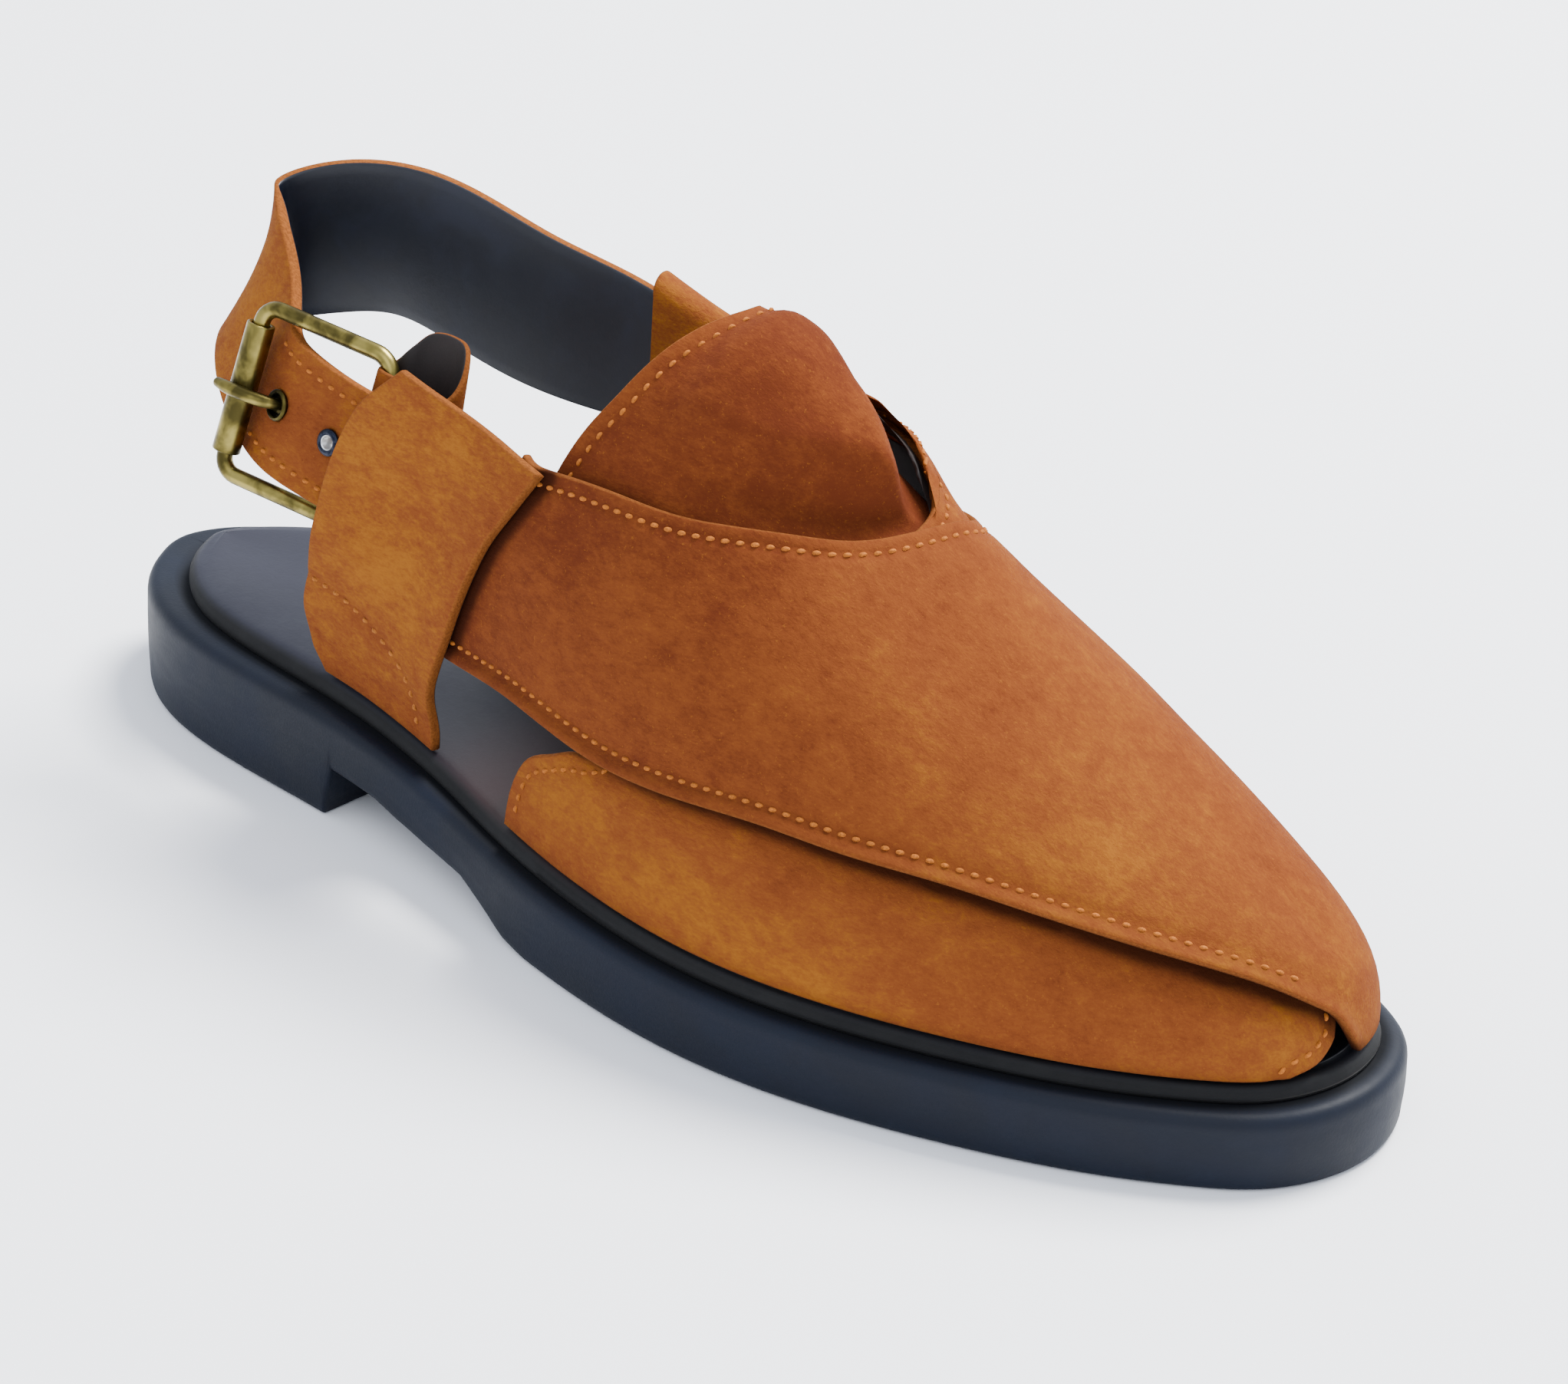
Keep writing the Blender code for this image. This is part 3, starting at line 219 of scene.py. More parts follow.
# Eyelets: bore, barrel and flange radii
EYELET_STANDOFF = 0.42
PRONG_EYELET = (2.15, 2.45, 3.1)
FREE_EYELET = (1.3, 1.75, 2.65)

# Anchor strip: closed path round the fixed bar and the slack loop before it,
# (x, y, z of its middle, x and y that its width gains for each mm of height, width)
ANCHOR_THICKNESS = 1.2
ANCHOR_SLOT = (9.0, 10.0, 3.4)
ANCHOR_PATH = (
    (86.7, -22.8, 78.2, 0.09, 0.28, 23),
    (83.6, -22.9, 78.2, 0.09, 0.3, 23.5),
    (81.6, -22.2, 78.2, 0.09, 0.3, 23.5),
    (80.85, -20.3, 78.2, 0.09, 0.3, 23.5),
    (81.55, -18.3, 78.4, 0.09, 0.3, 24),
    (83.0, -17.1, 79.4, 0.09, 0.3, 26),
    (84.7, -15.9, 80.4, 0.08, 0.29, 28),
    (86.6, -14.4, 81.3, 0.06, 0.27, 29.5),
    (89.4, -13.2, 81.6, 0.04, 0.25, 30),
    (92.8, -12.8, 81.6, 0.03, 0.23, 30),
    (96.2, -13.5, 81.4, 0.03, 0.21, 30),
    (99.3, -15.5, 80.7, 0.02, 0.19, 29.2),
    (101.6, -18.3, 79.4, 0.02, 0.17, 27),
    (102.3, -21.2, 78.2, 0.02, 0.15, 24.6),
    (100.8, -23.4, 77.4, 0.02, 0.13, 23),
    (97.6, -23.8, 77.2, 0.03, 0.15, 22.5),
    (94.2, -23.4, 77.4, 0.05, 0.19, 22.5),
    (90.6, -23.0, 77.8, 0.07, 0.24, 22.8),
)

# Curves: samples of the outsole's outline, samples between two points of a curve, and the power of
# the chord by which its knots are spaced
OUTLINE_SAMPLES = 720
FINE_SAMPLES = 40
CHORD_POWER = 0.5
# Working with the last: halvings of the interval, smallest reach in mm and area in mm2, step for
# normals
HALVINGS = 40
TINY_REACH = 1e-6
TINY_AREA = 1e-9
NORMAL_STEP = 0.75
# Wires and turned shapes: rows of a cap, its last radius as a share, a direction that no axis has,
# and the share of a side that a rounded corner may take
CAP_ROWS = 5
CAP_POINT = 1e-3
OFF_AXIS = (0.3, 0.2, 1.0)
CORNER_SHARE = 0.45
# How far inside a grid's last row or column a place has to lie, in rows
GRID_END = 1e-3

# Finer sampling and finish of the pieces, in millimetres except for doubles, in metres
DOUBLES = 1e-6
SOLE_SECTIONS = 190
BREAST_CLEAR = 2.2
BREAST_ROWS = (81.2, 81.7, 85.2, 86.0)
# (inset, drop below the outsole's top) over its shoulder
OUTSOLE_SHOULDER = (
    (3.4, 0.0), (2.6, 0.02), (1.9, 0.12), (1.3, 0.36), (0.8, 0.75), (0.4, 1.3), (0.12, 2.0),
    (0.0, 2.8),
)
# (share down the side, inset) between shoulder and foot, and how far from the top and from the
# underside that stretch ends
OUTSOLE_SIDE_MARGIN = 3.4
OUTSOLE_SIDE = ((0.0, -0.02), (0.25, -0.12), (0.5, -0.15), (0.75, -0.1), (1.0, 0.05))
# (inset, rise over the underside) at the foot of the side
OUTSOLE_FOOT = ((0.12, 1.6), (0.3, 0.8), (0.6, 0.3), (1.1, 0.0))
# Rows of the outsole's top from the footbed's edge to its shoulder, as shares of the way, how far
# the first one lies under the footbed, the distances from the footbed over which the top is painted
# dark as shade, and the drop below it that still counts as the top
OUTSOLE_SHELF = (1.0, 0.66, 0.33)
OUTSOLE_SHELF_UNDER = 0.6
OUTSOLE_SHADE_REACH = (0.5, 2.8)
OUTSOLE_TOP_DROP = 1.0
OUTSOLE_COLUMNS = 12
OUTSOLE_CREASE = 60
# (inset, drop below the footbed's top) over its edge
FOOTBED_SHOULDER = (
    (3.6, 0.0), (2.6, 0.1), (1.8, 0.32), (1.1, 0.7), (0.5, 1.25), (0.12, 2.0), (0.0, 2.9),
)
FOOTBED_CROWN = 0.35
# (x, depth, half length) of the hollows pressed in by the heel and the ball
FOOTBED_HOLLOWS = ((38, 0.6, 24), (190, 0.6, 30))
FOOTBED_GAP = 0.1
# (inset, rise over the underside) at the footbed's foot
FOOTBED_FOOT = ((0.0, 0.9), (0.25, 0.0))
FOOTBED_COLUMNS = 24
# Drops below the footbed's top over which the cover darkens down its side, as painted shade
FOOTBED_SIDE_SHADE = (0.15, 1.1)
PANEL_COLUMNS = 150
PANEL_ROWS = 74
# Clearance of the panels' seams over the footbed: under panel, top panel
UNDER_SEAM_CLEAR = 1.0
TOP_SEAM_CLEAR = 3.0
# Height over the footbed by which the top panel's front edge is free to stand off
TOP_FREE_HEIGHT = 6
# Under panel: heights over which it dips on the outer side, distances from the top panel's throat
# over which it dips on the inner side, stations (with their sign changed) over which its rear end
# is tucked in, and its sink along the top panel's front edge
UNDER_DIP_HEIGHTS = (5, 19)
UNDER_DIP_PAST_THROAT = (-15, -3)
TUCKED_STATIONS = (-142, -127)
UNDER_PANEL_SINK = 1.9
UNDER_PANEL_SINK_WIDTH = 5.0
# (station, how far its throat edge stands off the last where the tongue lifts it), and the reach of
# that
UNDER_PANEL_STAND = (
    (142, 0.0), (151, 2.4), (160, 4.6), (167, 4.4), (173, 3.2), (181, 2.3), (189, 1.4), (198, 0.0),
)
UNDER_PANEL_STAND_REACH = 11.0
FOOT_SAMPLES = 400
THROAT_SAMPLES = 300
TONGUE_ROWS = 64
# Tongue: distances inside the throat over which it lifts, wrap at which the lift ends, wraps of the
# inner panel's tuck, and stations over which it goes below the under panel
TONGUE_LIFT_INSIDE = (2.2, 10)
TONGUE_LIFT_WRAP = 0.72
TONGUE_TUCK_WRAPS = (0.4, 0.7)
TONGUE_BELOW_STATIONS = (158, 176)
BAND_COLUMNS = 34
BAND_ROWS = 56
FOLD_ROWS = 18
FLAP_ROWS = 20
BAND_SEAM_SAMPLES = 60
# Outer band: share across at which its bulge ends, heights of the bulge and of the stand-off
OUTER_BULGE_ACROSS = 0.75
OUTER_BULGE_HEIGHTS = (14, 34)
OUTER_STANDOFF_HEIGHTS = (2, 17)
STRAP_SAMPLES = 300
STRAP_COLUMNS = 15
STRAP_FINE = 40
ANCHOR_SAMPLES = 180
ANCHOR_COLUMNS = 13
FRAME_SAMPLES = 160
HOLE_CLEAR = 0.3
HOLE_SIDES = 32
NEAR_AXIS = 1e-4
PIN_REACH = 6.0
# Buckle: sides of the wire, the prong and what is turned, samples of a bend, the ring and the
# shank, play of the roller and the ring on the wire, and rounding and crease angle of the roller
WIRE_SIDES = 16
PRONG_SIDES = 14
TURNED_SIDES = 40
BEND_SAMPLES = 9
RING_SAMPLES = 26
SHANK_SAMPLES = 60
ROLLER_PLAY = 0.25
RING_PLAY = 0.15
ROLLER_ROUNDING = 0.35
ROLLER_CREASE = 50
# Eyelet: rounding, crease angle, depth of the bore's mark, and its profile as rows of (name of the
# radius, addition to it, side of the strap, height over that face)
EYELET_ROUNDING = 0.22
EYELET_CREASE = 60
BORE_MARK = 0.12
EYELET_PROFILE = (
    ("bore", 0.0, -1, -0.4),
    ("flange", -0.4, -1, -0.4),
    ("flange", -0.4, -1, 0.0),
    ("barrel", 0.0, -1, 0.0),
    ("barrel", 0.0, 1, -0.25),
    ("flange", 0.0, 1, -0.25),
    ("flange", 0.0, 1, 0.25),
    ("crest", 0.0, 1, 0.7),
    ("bore", 0.0, 1, 0.35),
)

# Cut edges: how far they bow out, over what reach the faces draw in, the power that flattens their
# oval, and the turns of the rows between the faces
EDGE_BULGE = 0.6
EDGE_REACH = 2.6
EDGE_SQUARE = 0.75
EDGE_TURNS = np.radians((66, 38, 12, -12, -38, -66))
# Folds: samples of a line, shares over which a fold fades in, and place and height of the swell
# beside it
LINE_SAMPLES = 60
FOLD_FADE = (-0.02, 0.3)
FOLD_SWELL_AT = 1.9
FOLD_SWELL = 0.5
# Seams and stitches
SEAM_STEP = 0.7
SEAM_WIDTH = 1.2
SEAM_DEPTH = 0.35
SEAM_PUCKER = 0.25
SEAM_INSET = 2.7
TONGUE_SEAM_INSET = 3.0
TOP_FRONT_SEAM_INSET = 2.9
TOP_FRONT_SEAM_END = 287.0
STITCH_SIDES = 6
STITCH_RINGS = 7
STITCH_SLANT = 0.12
STITCH_SINK = 0.36
# Share of a stitch's length that stays over the leather, its fullness towards the ends, and its
# flatness
STITCH_OVER = 0.35
STITCH_FULLNESS = 0.7
STITCH_FLATNESS = 0.42
PANEL_PITCH_SHARE = 0.88
# Rows of the under panel's inner face, next to its throat, that its turned edge covers
TURNED_ROWS = 3
# Reach of the shade painted along the edge of the piece over it, and its share at the foot, painted
# shade where the piece meets the footbed
CREVICE_REACH = 3.1
FOOT_SHADE = 0.5
NAP_ON_FOLDS = 0.25
# Height over the footbed over which the painted shade at the foot fades
FOOT_SHADE_HEIGHT = 3.5

# Folds of each piece: line from (down, across) to (down, across) in shares of its grid, depth,
# width. Nap: the same line, width, tone. Seams of the bands: (down, across) along the seam. On a
# panel "down" runs from its throat to its front edge and "across" from the outer to the inner side.
TOP_PANEL_FOLDS = (
    (0.1, 0.1, 0.7, 0.2, 0.5, 7.0),
    (0.16, 0.3, 0.62, 0.36, 0.35, 9.0),
    (0.3, 0.52, 0.75, 0.6, 0.3, 9.0),
    (0.15, 0.62, 0.6, 0.72, 0.45, 8.0),
    (0.12, 0.82, 0.55, 0.88, 0.5, 7.0),
)
TOP_PANEL_NAP = (
    (0.0, 0.0, 1.0, 0.0, 26.0, -0.3),
    (0.3, 0.3, 0.9, 0.36, 22.0, -0.12),
    (0.1, 0.64, 0.85, 0.74, 12.0, 0.14),
    (0.96, 0.7, 1.0, 1.0, 20.0, 0.22),
    (0.45, 0.44, 0.75, 0.56, 9.0, 0.12),
    (0.2, 0.2, 0.3, 0.42, 8.0, -0.12),
)
UNDER_PANEL_FOLDS = (
    (0.2, 0.62, 0.8, 0.6, 0.35, 8.0),
    (0.15, 0.85, 0.8, 0.8, 0.4, 7.0),
    (0.2, 0.15, 0.7, 0.22, 0.45, 7.0),
)
UNDER_PANEL_NAP = (
    (0.9, 0.98, 0.98, 0.8, 10.0, 0.22),
    (0.0, 0.96, 0.4, 1.0, 9.0, 0.22),
    (0.55, 0.95, 0.8, 0.9, 12.0, -0.14),
)
TONGUE_FOLDS = ((0.12, 0.36, 0.5, 0.42, 0.35, 6.0), (0.14, 0.66, 0.5, 0.6, 0.35, 6.0))
TONGUE_NAP = ((0.0, 0.1, 0.0, 0.9, 3.5, 0.3), (0.45, 0.2, 0.5, 0.8, 7.0, -0.15))
# On a band "down" runs up from the sole and "across" from the rear edge to the front one.
LATERAL_FOLDS = ((0.62, 0.0, 0.7, 1.0, 0.35, 7.0), (0.3, 0.1, 0.2, 0.9, 0.3, 6.0))
LATERAL_NAP = (
    (0.7, 0.2, 0.5, 0.5, 10.0, 0.12),
    (0.02, 0.1, 0.02, 0.9, 6.0, -0.2),
    (0.5, 1.0, 0.9, 1.0, 5.0, -0.2),
)
LATERAL_SEAM = ((0.3, 0.02), (0.29, 0.25), (0.26, 0.5), (0.2, 0.78), (0.13, 0.86), (0.03, 0.86))
MEDIAL_FOLDS = ((0.3, 0.0, 0.36, 1.0, 0.3, 7.0),)
MEDIAL_NAP = ((0.3, 0.3, 0.4, 0.8, 9.0, 0.25),)
MEDIAL_SEAM = ((0.32, 0.03), (0.33, 0.5), (0.32, 0.97))
# On the strap "down" runs across its width from below and "across" from its tail to the inner band.
STRAP_FOLDS = (
    (0.1, 0.3, 0.9, 0.31, 0.25, 3.0),
    (0.1, 0.42, 0.9, 0.4, 0.25, 4.0),
    (0.1, 0.52, 0.9, 0.55, 0.25, 5.0),
)
STRAP_NAP = ((0.5, 0.2, 0.5, 0.3, 9.0, -0.3), (0.5, 0.36, 0.5, 0.5, 10.0, 0.12))
STRAP_SEAMS = (0.12, 0.88)
STRAP_SEAM_START = 0.01
STRAP_SEAM_END = 0.33
STRAP_SEAM_SAMPLES = 80

# Stage: soft lamps as (name, place, aim, watts, size, tint), the floor's size and its drop below
# the sole, all in metres
LIGHTS = (
    ("key", (0.15, 1.0, 1.7), (0.0, 0.0, 0.03), 126.0, 1.0, (1.0, 0.99, 0.965)),
    ("fill", (0.7, -1.4, 1.5), (0.0, 0.0, 0.03), 12.0, 1.6, (0.96, 0.97, 1.0)),
)
SURROUNDINGS_STRENGTH = 1.84
FLOOR_SIZE = 6.0
FLOOR_DROP = -0.0002
# Camera: place in millimetres, (yaw, pitch down, roll) in degrees, lens and sensor in millimetres
CAMERA_PLACE = (636.6, -537.3, 406.0)
CAMERA_TURN = (130.99, 26.76, 2.5)
CAMERA_LENS = 100.0
CAMERA_SENSOR = 36.0
# Ribs of the tread, as the scale of a wave in metres
TREAD_SCALE = 60.0
# Noises of the materials: size of a feature in millimetres, detail, roughness, distortion, and for
# marks that run one way the turn in radians and the stretch of the coordinates along x, y and z
NOISES = {
    "suede_cloud": (12, 4, 0.6, 0.8, None, None),
    "suede_mottle": (3.4, 3, 0.65, 0.5, (0.0, 0.3, 0.5), (0.6, 1.0, 1.0)),
    "suede_stroke": (1.2, 3, 0.7, 0.3, (0.0, 0.5, 0.35), (0.4, 1.0, 1.0)),
    "suede_fibre": (0.42, 2, 0.7, 0.0, (0.0, 0.4, 0.3), (0.5, 1.0, 1.0)),
    "suede_fleck": (0.7, 2, 0.8, 0.0, None, None),
    "lining_rubbed": (14, 3, 0.55, 0.6, None, None),
    "lining_pores": (0.5, 2, 0.6, 0.0, None, None),
    "lining_creases": (3.0, 4, 0.65, 1.2, None, None),
    "footbed_wear": (18, 3, 0.5, 0.5, None, None),
    "footbed_grain": (0.9, 3, 0.6, 0.0, None, None),
    "footbed_pebble": (2.6, 3, 0.6, 0.6, None, None),
    "rubber_cloud": (22, 3, 0.55, 0.4, None, None),
    "rubber_grit": (0.6, 2, 0.65, 0.0, None, None),
    "rubber_scuff": (5.0, 4, 0.65, 1.0, (0, 0, 0.2), (0.35, 1.0, 1.6)),
    "brass_patina": (5.5, 3, 0.5, 0.3, None, None),
    "brass_scratches": (0.5, 3, 0.6, 0.0, (0.3, 0.2, 0.4), (0.12, 1.0, 1.0)),
    "steel_patina": (1.2, 3, 0.6, 0.5, None, None),
    "thread_twist": (0.35, 2, 0.6, 0.0, None, None),
    "thread_patch": (9, 2, 0.5, 0.0, None, None),
    "floor_uneven": (600, 2, 0.5, 0.0, None, None),
    "floor_grain": (1.5, 2, 0.6, 0.0, None, None),
}
# Linear colours of the free eyelet, its bore's bright steel being a painted highlight, and the
# brightness of the other one's brass, lowered as painted shade under the prong
BLUED_STEEL_DARK = (0.008, 0.01, 0.018, 1.0)
BLUED_STEEL_LIGHT = (0.03, 0.034, 0.05, 1.0)
BORE_HIGHLIGHT_STEEL = (0.9, 0.9, 0.9, 1.0)
PRONG_EYELET_SHADE = 0.3


def from_screen(red, green, blue):
    """Linear colour of one given as shown on a screen, 0 to 255."""
    shown = np.array([red, green, blue]) / 255
    curved = ((shown + 0.055) / 1.055) ** 2.4
    return tuple(np.where(shown <= 0.04045, shown / 12.92, curved).tolist())


# Curves through tables


def hermite(start, end, start_rise, end_rise, t):
    """Cubic from start to end as t runs from 0 to 1, leaving and arriving at the given rises."""
    return (
        start * (1 + 2 * t) * (1 - t) ** 2
        + end * t * t * (3 - 2 * t)
        + start_rise * t * (1 - t) ** 2
        - end_rise * t * t * (1 - t)
    )


def smooth(rows, at, column=1):
    """Monotone cubic through a table's rows at the places asked for, level beyond its ends."""
    rows = np.asarray(rows, float)
    x, y = rows[:, 0], rows[:, column]
    step = np.diff(x)
    secant = np.diff(y) / step
    slope = np.concatenate([secant[:1], np.zeros(len(x) - 2), secant[-1:]])
    before, after = secant[:-1], secant[1:]
    same_way = before * after > 0
    heavy, light = 2 * step[1:] + step[:-1], step[1:] + 2 * step[:-1]
    parts = heavy / np.where(same_way, before, 1) + light / np.where(same_way, after, 1)
    total = np.where(same_way, parts, 1)
    slope[1:-1] = np.where(same_way, (heavy + light) / total, 0)
    at = np.clip(np.asarray(at, float), x[0], x[-1])
    cell = np.clip(np.searchsorted(x, at, side="right") - 1, 0, len(x) - 2)
    h = step[cell]
    return hermite(y[cell], y[cell + 1], h * slope[cell], h * slope[cell + 1], (at - x[cell]) / h)


def straight(rows, at):
    """Straight lines through a table's rows."""
    rows = np.asarray(rows, float)
    return np.interp(at, rows[:, 0], rows[:, 1])


def ease(value, low, high):
    """0 below low, 1 above high, and a smooth step between."""
    t = np.clip((np.asarray(value, float) - low) / (high - low), 0, 1)
    return t * t * (3 - 2 * t)


def unit(vectors):
    """Vectors scaled to length 1."""
    vectors = np.asarray(vectors, float)
    return vectors / np.linalg.norm(vectors, axis=-1, keepdims=True)


def run_direction(points, closed, reach=1):
    """Direction along a line at each of its points, over the given number of points either way."""
    if closed:
        return unit(np.roll(points, -reach, 0) - np.roll(points, reach, 0))
    return unit(np.gradient(points, axis=0))


def round_angles(count):
    """Angles of evenly spaced points once round a circle, in radians."""
    return np.arange(count) * 2 * math.pi / count


def knots_between(points, power):
    """Parameter values of points, each step being the chord to the given power."""
    chords = np.linalg.norm(np.diff(points, axis=0), axis=1)
    return np.concatenate([[0], np.cumsum(chords**power)])


def spline(points, at, knots, closed=False):
    """Cubic spline through points at given knots, natural at its ends or closed on itself."""
    points = np.asarray(points, float)
    if closed:
        points = np.vstack([points, points[:1]])
    count = len(points)
    h = np.diff(knots)
    secant = np.diff(points, axis=0) / h[:, None]
    system = np.zeros((count, count))
    right = np.zeros_like(points)
    for i in range(1, count - 1):
        system[i, i - 1 : i + 2] = (h[i], 2 * (h[i - 1] + h[i]), h[i - 1])
        right[i] = 3 * (h[i] * secant[i - 1] + h[i - 1] * secant[i])
    if closed:
        system[0, 0], system[0, -1] = 1, -1
        system[-1, 0], system[-1, 1] = 2 * (h[-1] + h[0]), h[-1]
        system[-1, -2] += h[0]
        right[-1] = 3 * (h[0] * secant[-1] + h[-1] * secant[0])
    else:
        system[0, :2], right[0] = (2, 1), 3 * secant[0]
        system[-1, -2:], right[-1] = (1, 2), 3 * secant[-1]
    slope = np.linalg.solve(system, right)
    at = np.asarray(at, float)
    cell = np.clip(np.searchsorted(knots, at, side="right") - 1, 0, count - 2)
    t = ((at - knots[cell]) / h[cell])[:, None]
    width = h[cell][:, None]
    return hermite(points[cell], points[cell + 1], width * slope[cell], width * slope[cell + 1], t)


def even_curve(points, shares, closed=False):
    """Spline through points, sampled at the given shares of its length."""
    points = np.asarray(points, float)
    loop = np.vstack([points, points[:1]]) if closed else points
    knots = knots_between(loop, CHORD_POWER)
    fine = spline(points, np.linspace(0, knots[-1], FINE_SAMPLES * len(loop)), knots, closed)
    return along_line(fine, shares)


def along_line(points, shares):
    """Straight pieces through points, sampled at the given shares of their length."""
    points = np.asarray(points, float)
    run = knots_between(points, 1.0)
    at = np.asarray(shares) * run[-1]
    return np.stack([np.interp(at, run, column) for column in points.T], axis=1)


# Plan of the sole


def outline():
    """The outsole's outline in plan, from the heel's back round the outer side and the toe."""
    outer = [(x, low) for x, low, _ in OUTLINE_STATIONS]
    inner = [(x, high) for x, _, high in OUTLINE_STATIONS[::-1]]
    shares = np.arange(OUTLINE_SAMPLES) / OUTLINE_SAMPLES
    return even_curve([HEEL_BACK] + outer + [TOE_TIP] + inner, shares, closed=True)


def inset(ring, distance):
    """A closed ring in plan moved inwards along its own normals."""
    along = run_direction(ring, closed=True)
    inwards = np.stack([-along[:, 1], along[:, 0]], axis=1)
    return ring + inwards * np.broadcast_to(distance, len(ring))[:, None]


def halves(ring):
    """The outer and inner halves of a ring, each as rows of rising x."""
    ring = np.roll(ring, -int(ring[:, 0].argmin()), 0)
    tip = int(ring[:, 0].argmax())
    outer, inner = ring[: tip + 1], np.vstack([ring[tip:], ring[:1]])[::-1]
    return outer[np.argsort(outer[:, 0])], inner[np.argsort(inner[:, 0])]


OUTSOLE_EDGE = outline()
FOOTBED_EDGE = inset(OUTSOLE_EDGE, smooth(FOOTBED_MARGIN, OUTSOLE_EDGE[:, 0]))
LEATHER_EDGE = inset(FOOTBED_EDGE, LEATHER_SET_IN)
LEATHER_OUTER, LEATHER_INNER = halves(LEATHER_EDGE)
LEATHER_TIP = LEATHER_EDGE[:, 0].max()
BOX_LOW, BOX_HIGH = OUTSOLE_EDGE.min(axis=0), OUTSOLE_EDGE.max(axis=0)
ORIGIN = np.array([*(BOX_LOW + BOX_HIGH) / 2, 0.0])


def footbed_top(x):
    """Height of the footbed's top at its edge."""
    return smooth(OUTSOLE_TOP, x) + straight(FOOTBED_THICKNESS, x)


def leather_edge_y(x, side):
    """y of the foot of the leather at a station, on the outer side (-1) or the inner side (+1)."""
    outer = np.interp(x, LEATHER_OUTER[:, 0], LEATHER_OUTER[:, 1])
    inner = np.interp(x, LEATHER_INNER[:, 0], LEATHER_INNER[:, 1])
    return np.where(np.asarray(side) < 0, outer, inner)


# The last


def ridge_station(station):
    """x on the ridge of the rib at a station; ahead of the fan's start the ribs lean back."""
    t = np.clip((station - FAN_START) / (LEATHER_TIP - FAN_START), 0, 1)
    return station - (LEATHER_TIP - RIDGE_END) * t**2


def rib_plan(station, side):
    """Ridge x and y of the rib at a station, and how far its foot lies from the ridge in y."""
    x = ridge_station(station)
    y = smooth(RIDGE, x, 1)
    return x, y, leather_edge_y(station, side) - y


def last_point(station, wrap):
    """Point of the last: a quarter ellipse from the ridge down to the footbed."""
    station, wrap = np.broadcast_arrays(np.asarray(station, float), np.asarray(wrap, float))
    x, y, reach = rib_plan(station, wrap)
    z = smooth(RIDGE, x, 2)
    foot_z = footbed_top(station) + LEATHER_FOOT_GAP
    out = np.abs(wrap)
    up = np.sqrt(np.clip(1 - out * out, 0, 1))
    return np.stack([x + (station - x) * out, y + reach * out, foot_z + (z - foot_z) * up], -1)


def unrolled(places):
    """Plan coordinates in which a rib's angle runs evenly from the ridge to the foot."""
    places = np.asarray(places, float)
    station, wrap = places[..., 0], places[..., 1]
    share = np.arcsin(np.clip(np.abs(wrap), 0, 1)) * 2 / math.pi
    x, y, reach = rib_plan(station, wrap)
    return np.stack([x + (station - x) * share, y + reach * share], -1)


def rolled(plan):
    """Station and wrap of points given in unrolled plan coordinates, by halving the interval."""
    plan = np.asarray(plan, float)
    x, y = plan[..., 0], plan[..., 1]
    side = np.where(y < smooth(RIDGE, np.minimum(x, RIDGE_END), 1), -1.0, 1.0)
    low, high = np.minimum(x, LEATHER_TIP), np.full_like(x, LEATHER_TIP)
    for _ in range(HALVINGS):
        middle = (low + high) / 2
        ridge_x, ridge_y, reach = rib_plan(middle, side)
        share = (y - ridge_y) / np.where(np.abs(reach) < TINY_REACH, TINY_REACH * side, reach)
        too_far = ridge_x + (middle - ridge_x) * share > x
        low, high = np.where(too_far, low, middle), np.where(too_far, middle, high)
    station = (low + high) / 2
    ridge_x, ridge_y, reach = rib_plan(station, side)
    foot = np.stack([station - ridge_x, reach], -1)
    from_ridge = np.stack([x - ridge_x, y - ridge_y], -1)
    share = (from_ridge * foot).sum(-1) / np.maximum((foot * foot).sum(-1), TINY_AREA)
    return station, side * np.sin(np.clip(share, 0, 1) * math.pi / 2)


def on_last(plan, offset):
    """Points at an offset outside the last, given in unrolled plan coordinates."""
    plan = np.asarray(plan, float)
    step = NORMAL_STEP

    def at(dx, dy):
        return last_point(*rolled(plan + np.array([dx, dy])))

    normal = unit(np.cross(at(step, 0) - at(-step, 0), at(0, step) - at(0, -step)))
    return at(0, 0) + normal * np.broadcast_to(offset, plan.shape[:-1])[..., None]


# Meshes


def grid_numbers(rows, columns, first=0):
    """Point numbers of a grid, row after row."""
    return first + np.arange(rows * columns).reshape(rows, columns)


def quads(grid, wrap=False):
    """Faces between neighbouring cells of a grid of point numbers, as rows of four."""
    if wrap:
        grid = np.hstack([grid, grid[:, :1]])
    corners = (grid[:-1, :-1], grid[:-1, 1:], grid[1:, 1:], grid[1:, :-1])
    return np.stack(corners, -1).reshape(-1, 4)


def raw_mesh(name, points, faces):
    """A mesh from points in millimetres in the shoe's frame."""
    mesh = bpy.data.meshes.new(name)
    places = (np.asarray(points, float).reshape(-1, 3) - ORIGIN) * METRES
    mesh.from_pydata(places.tolist(), [], np.asarray(faces).tolist())
    return mesh


def close_up(mesh):
    """Joins a mesh's doubled points and turns its faces outwards."""
    surface = bmesh.new()
    surface.from_mesh(mesh)
    bmesh.ops.remove_doubles(surface, verts=surface.verts, dist=DOUBLES)
    bmesh.ops.recalc_face_normals(surface, faces=surface.faces)
    if surface.calc_volume(signed=True) < 0:
        bmesh.ops.reverse_faces(surface, faces=surface.faces)
    surface.to_mesh(mesh)
    surface.free()


def placed(name, data):
    """An object of the given data, linked to the scene."""
    made = bpy.data.objects.new(name, data)
    bpy.context.scene.collection.objects.link(made)
    return made


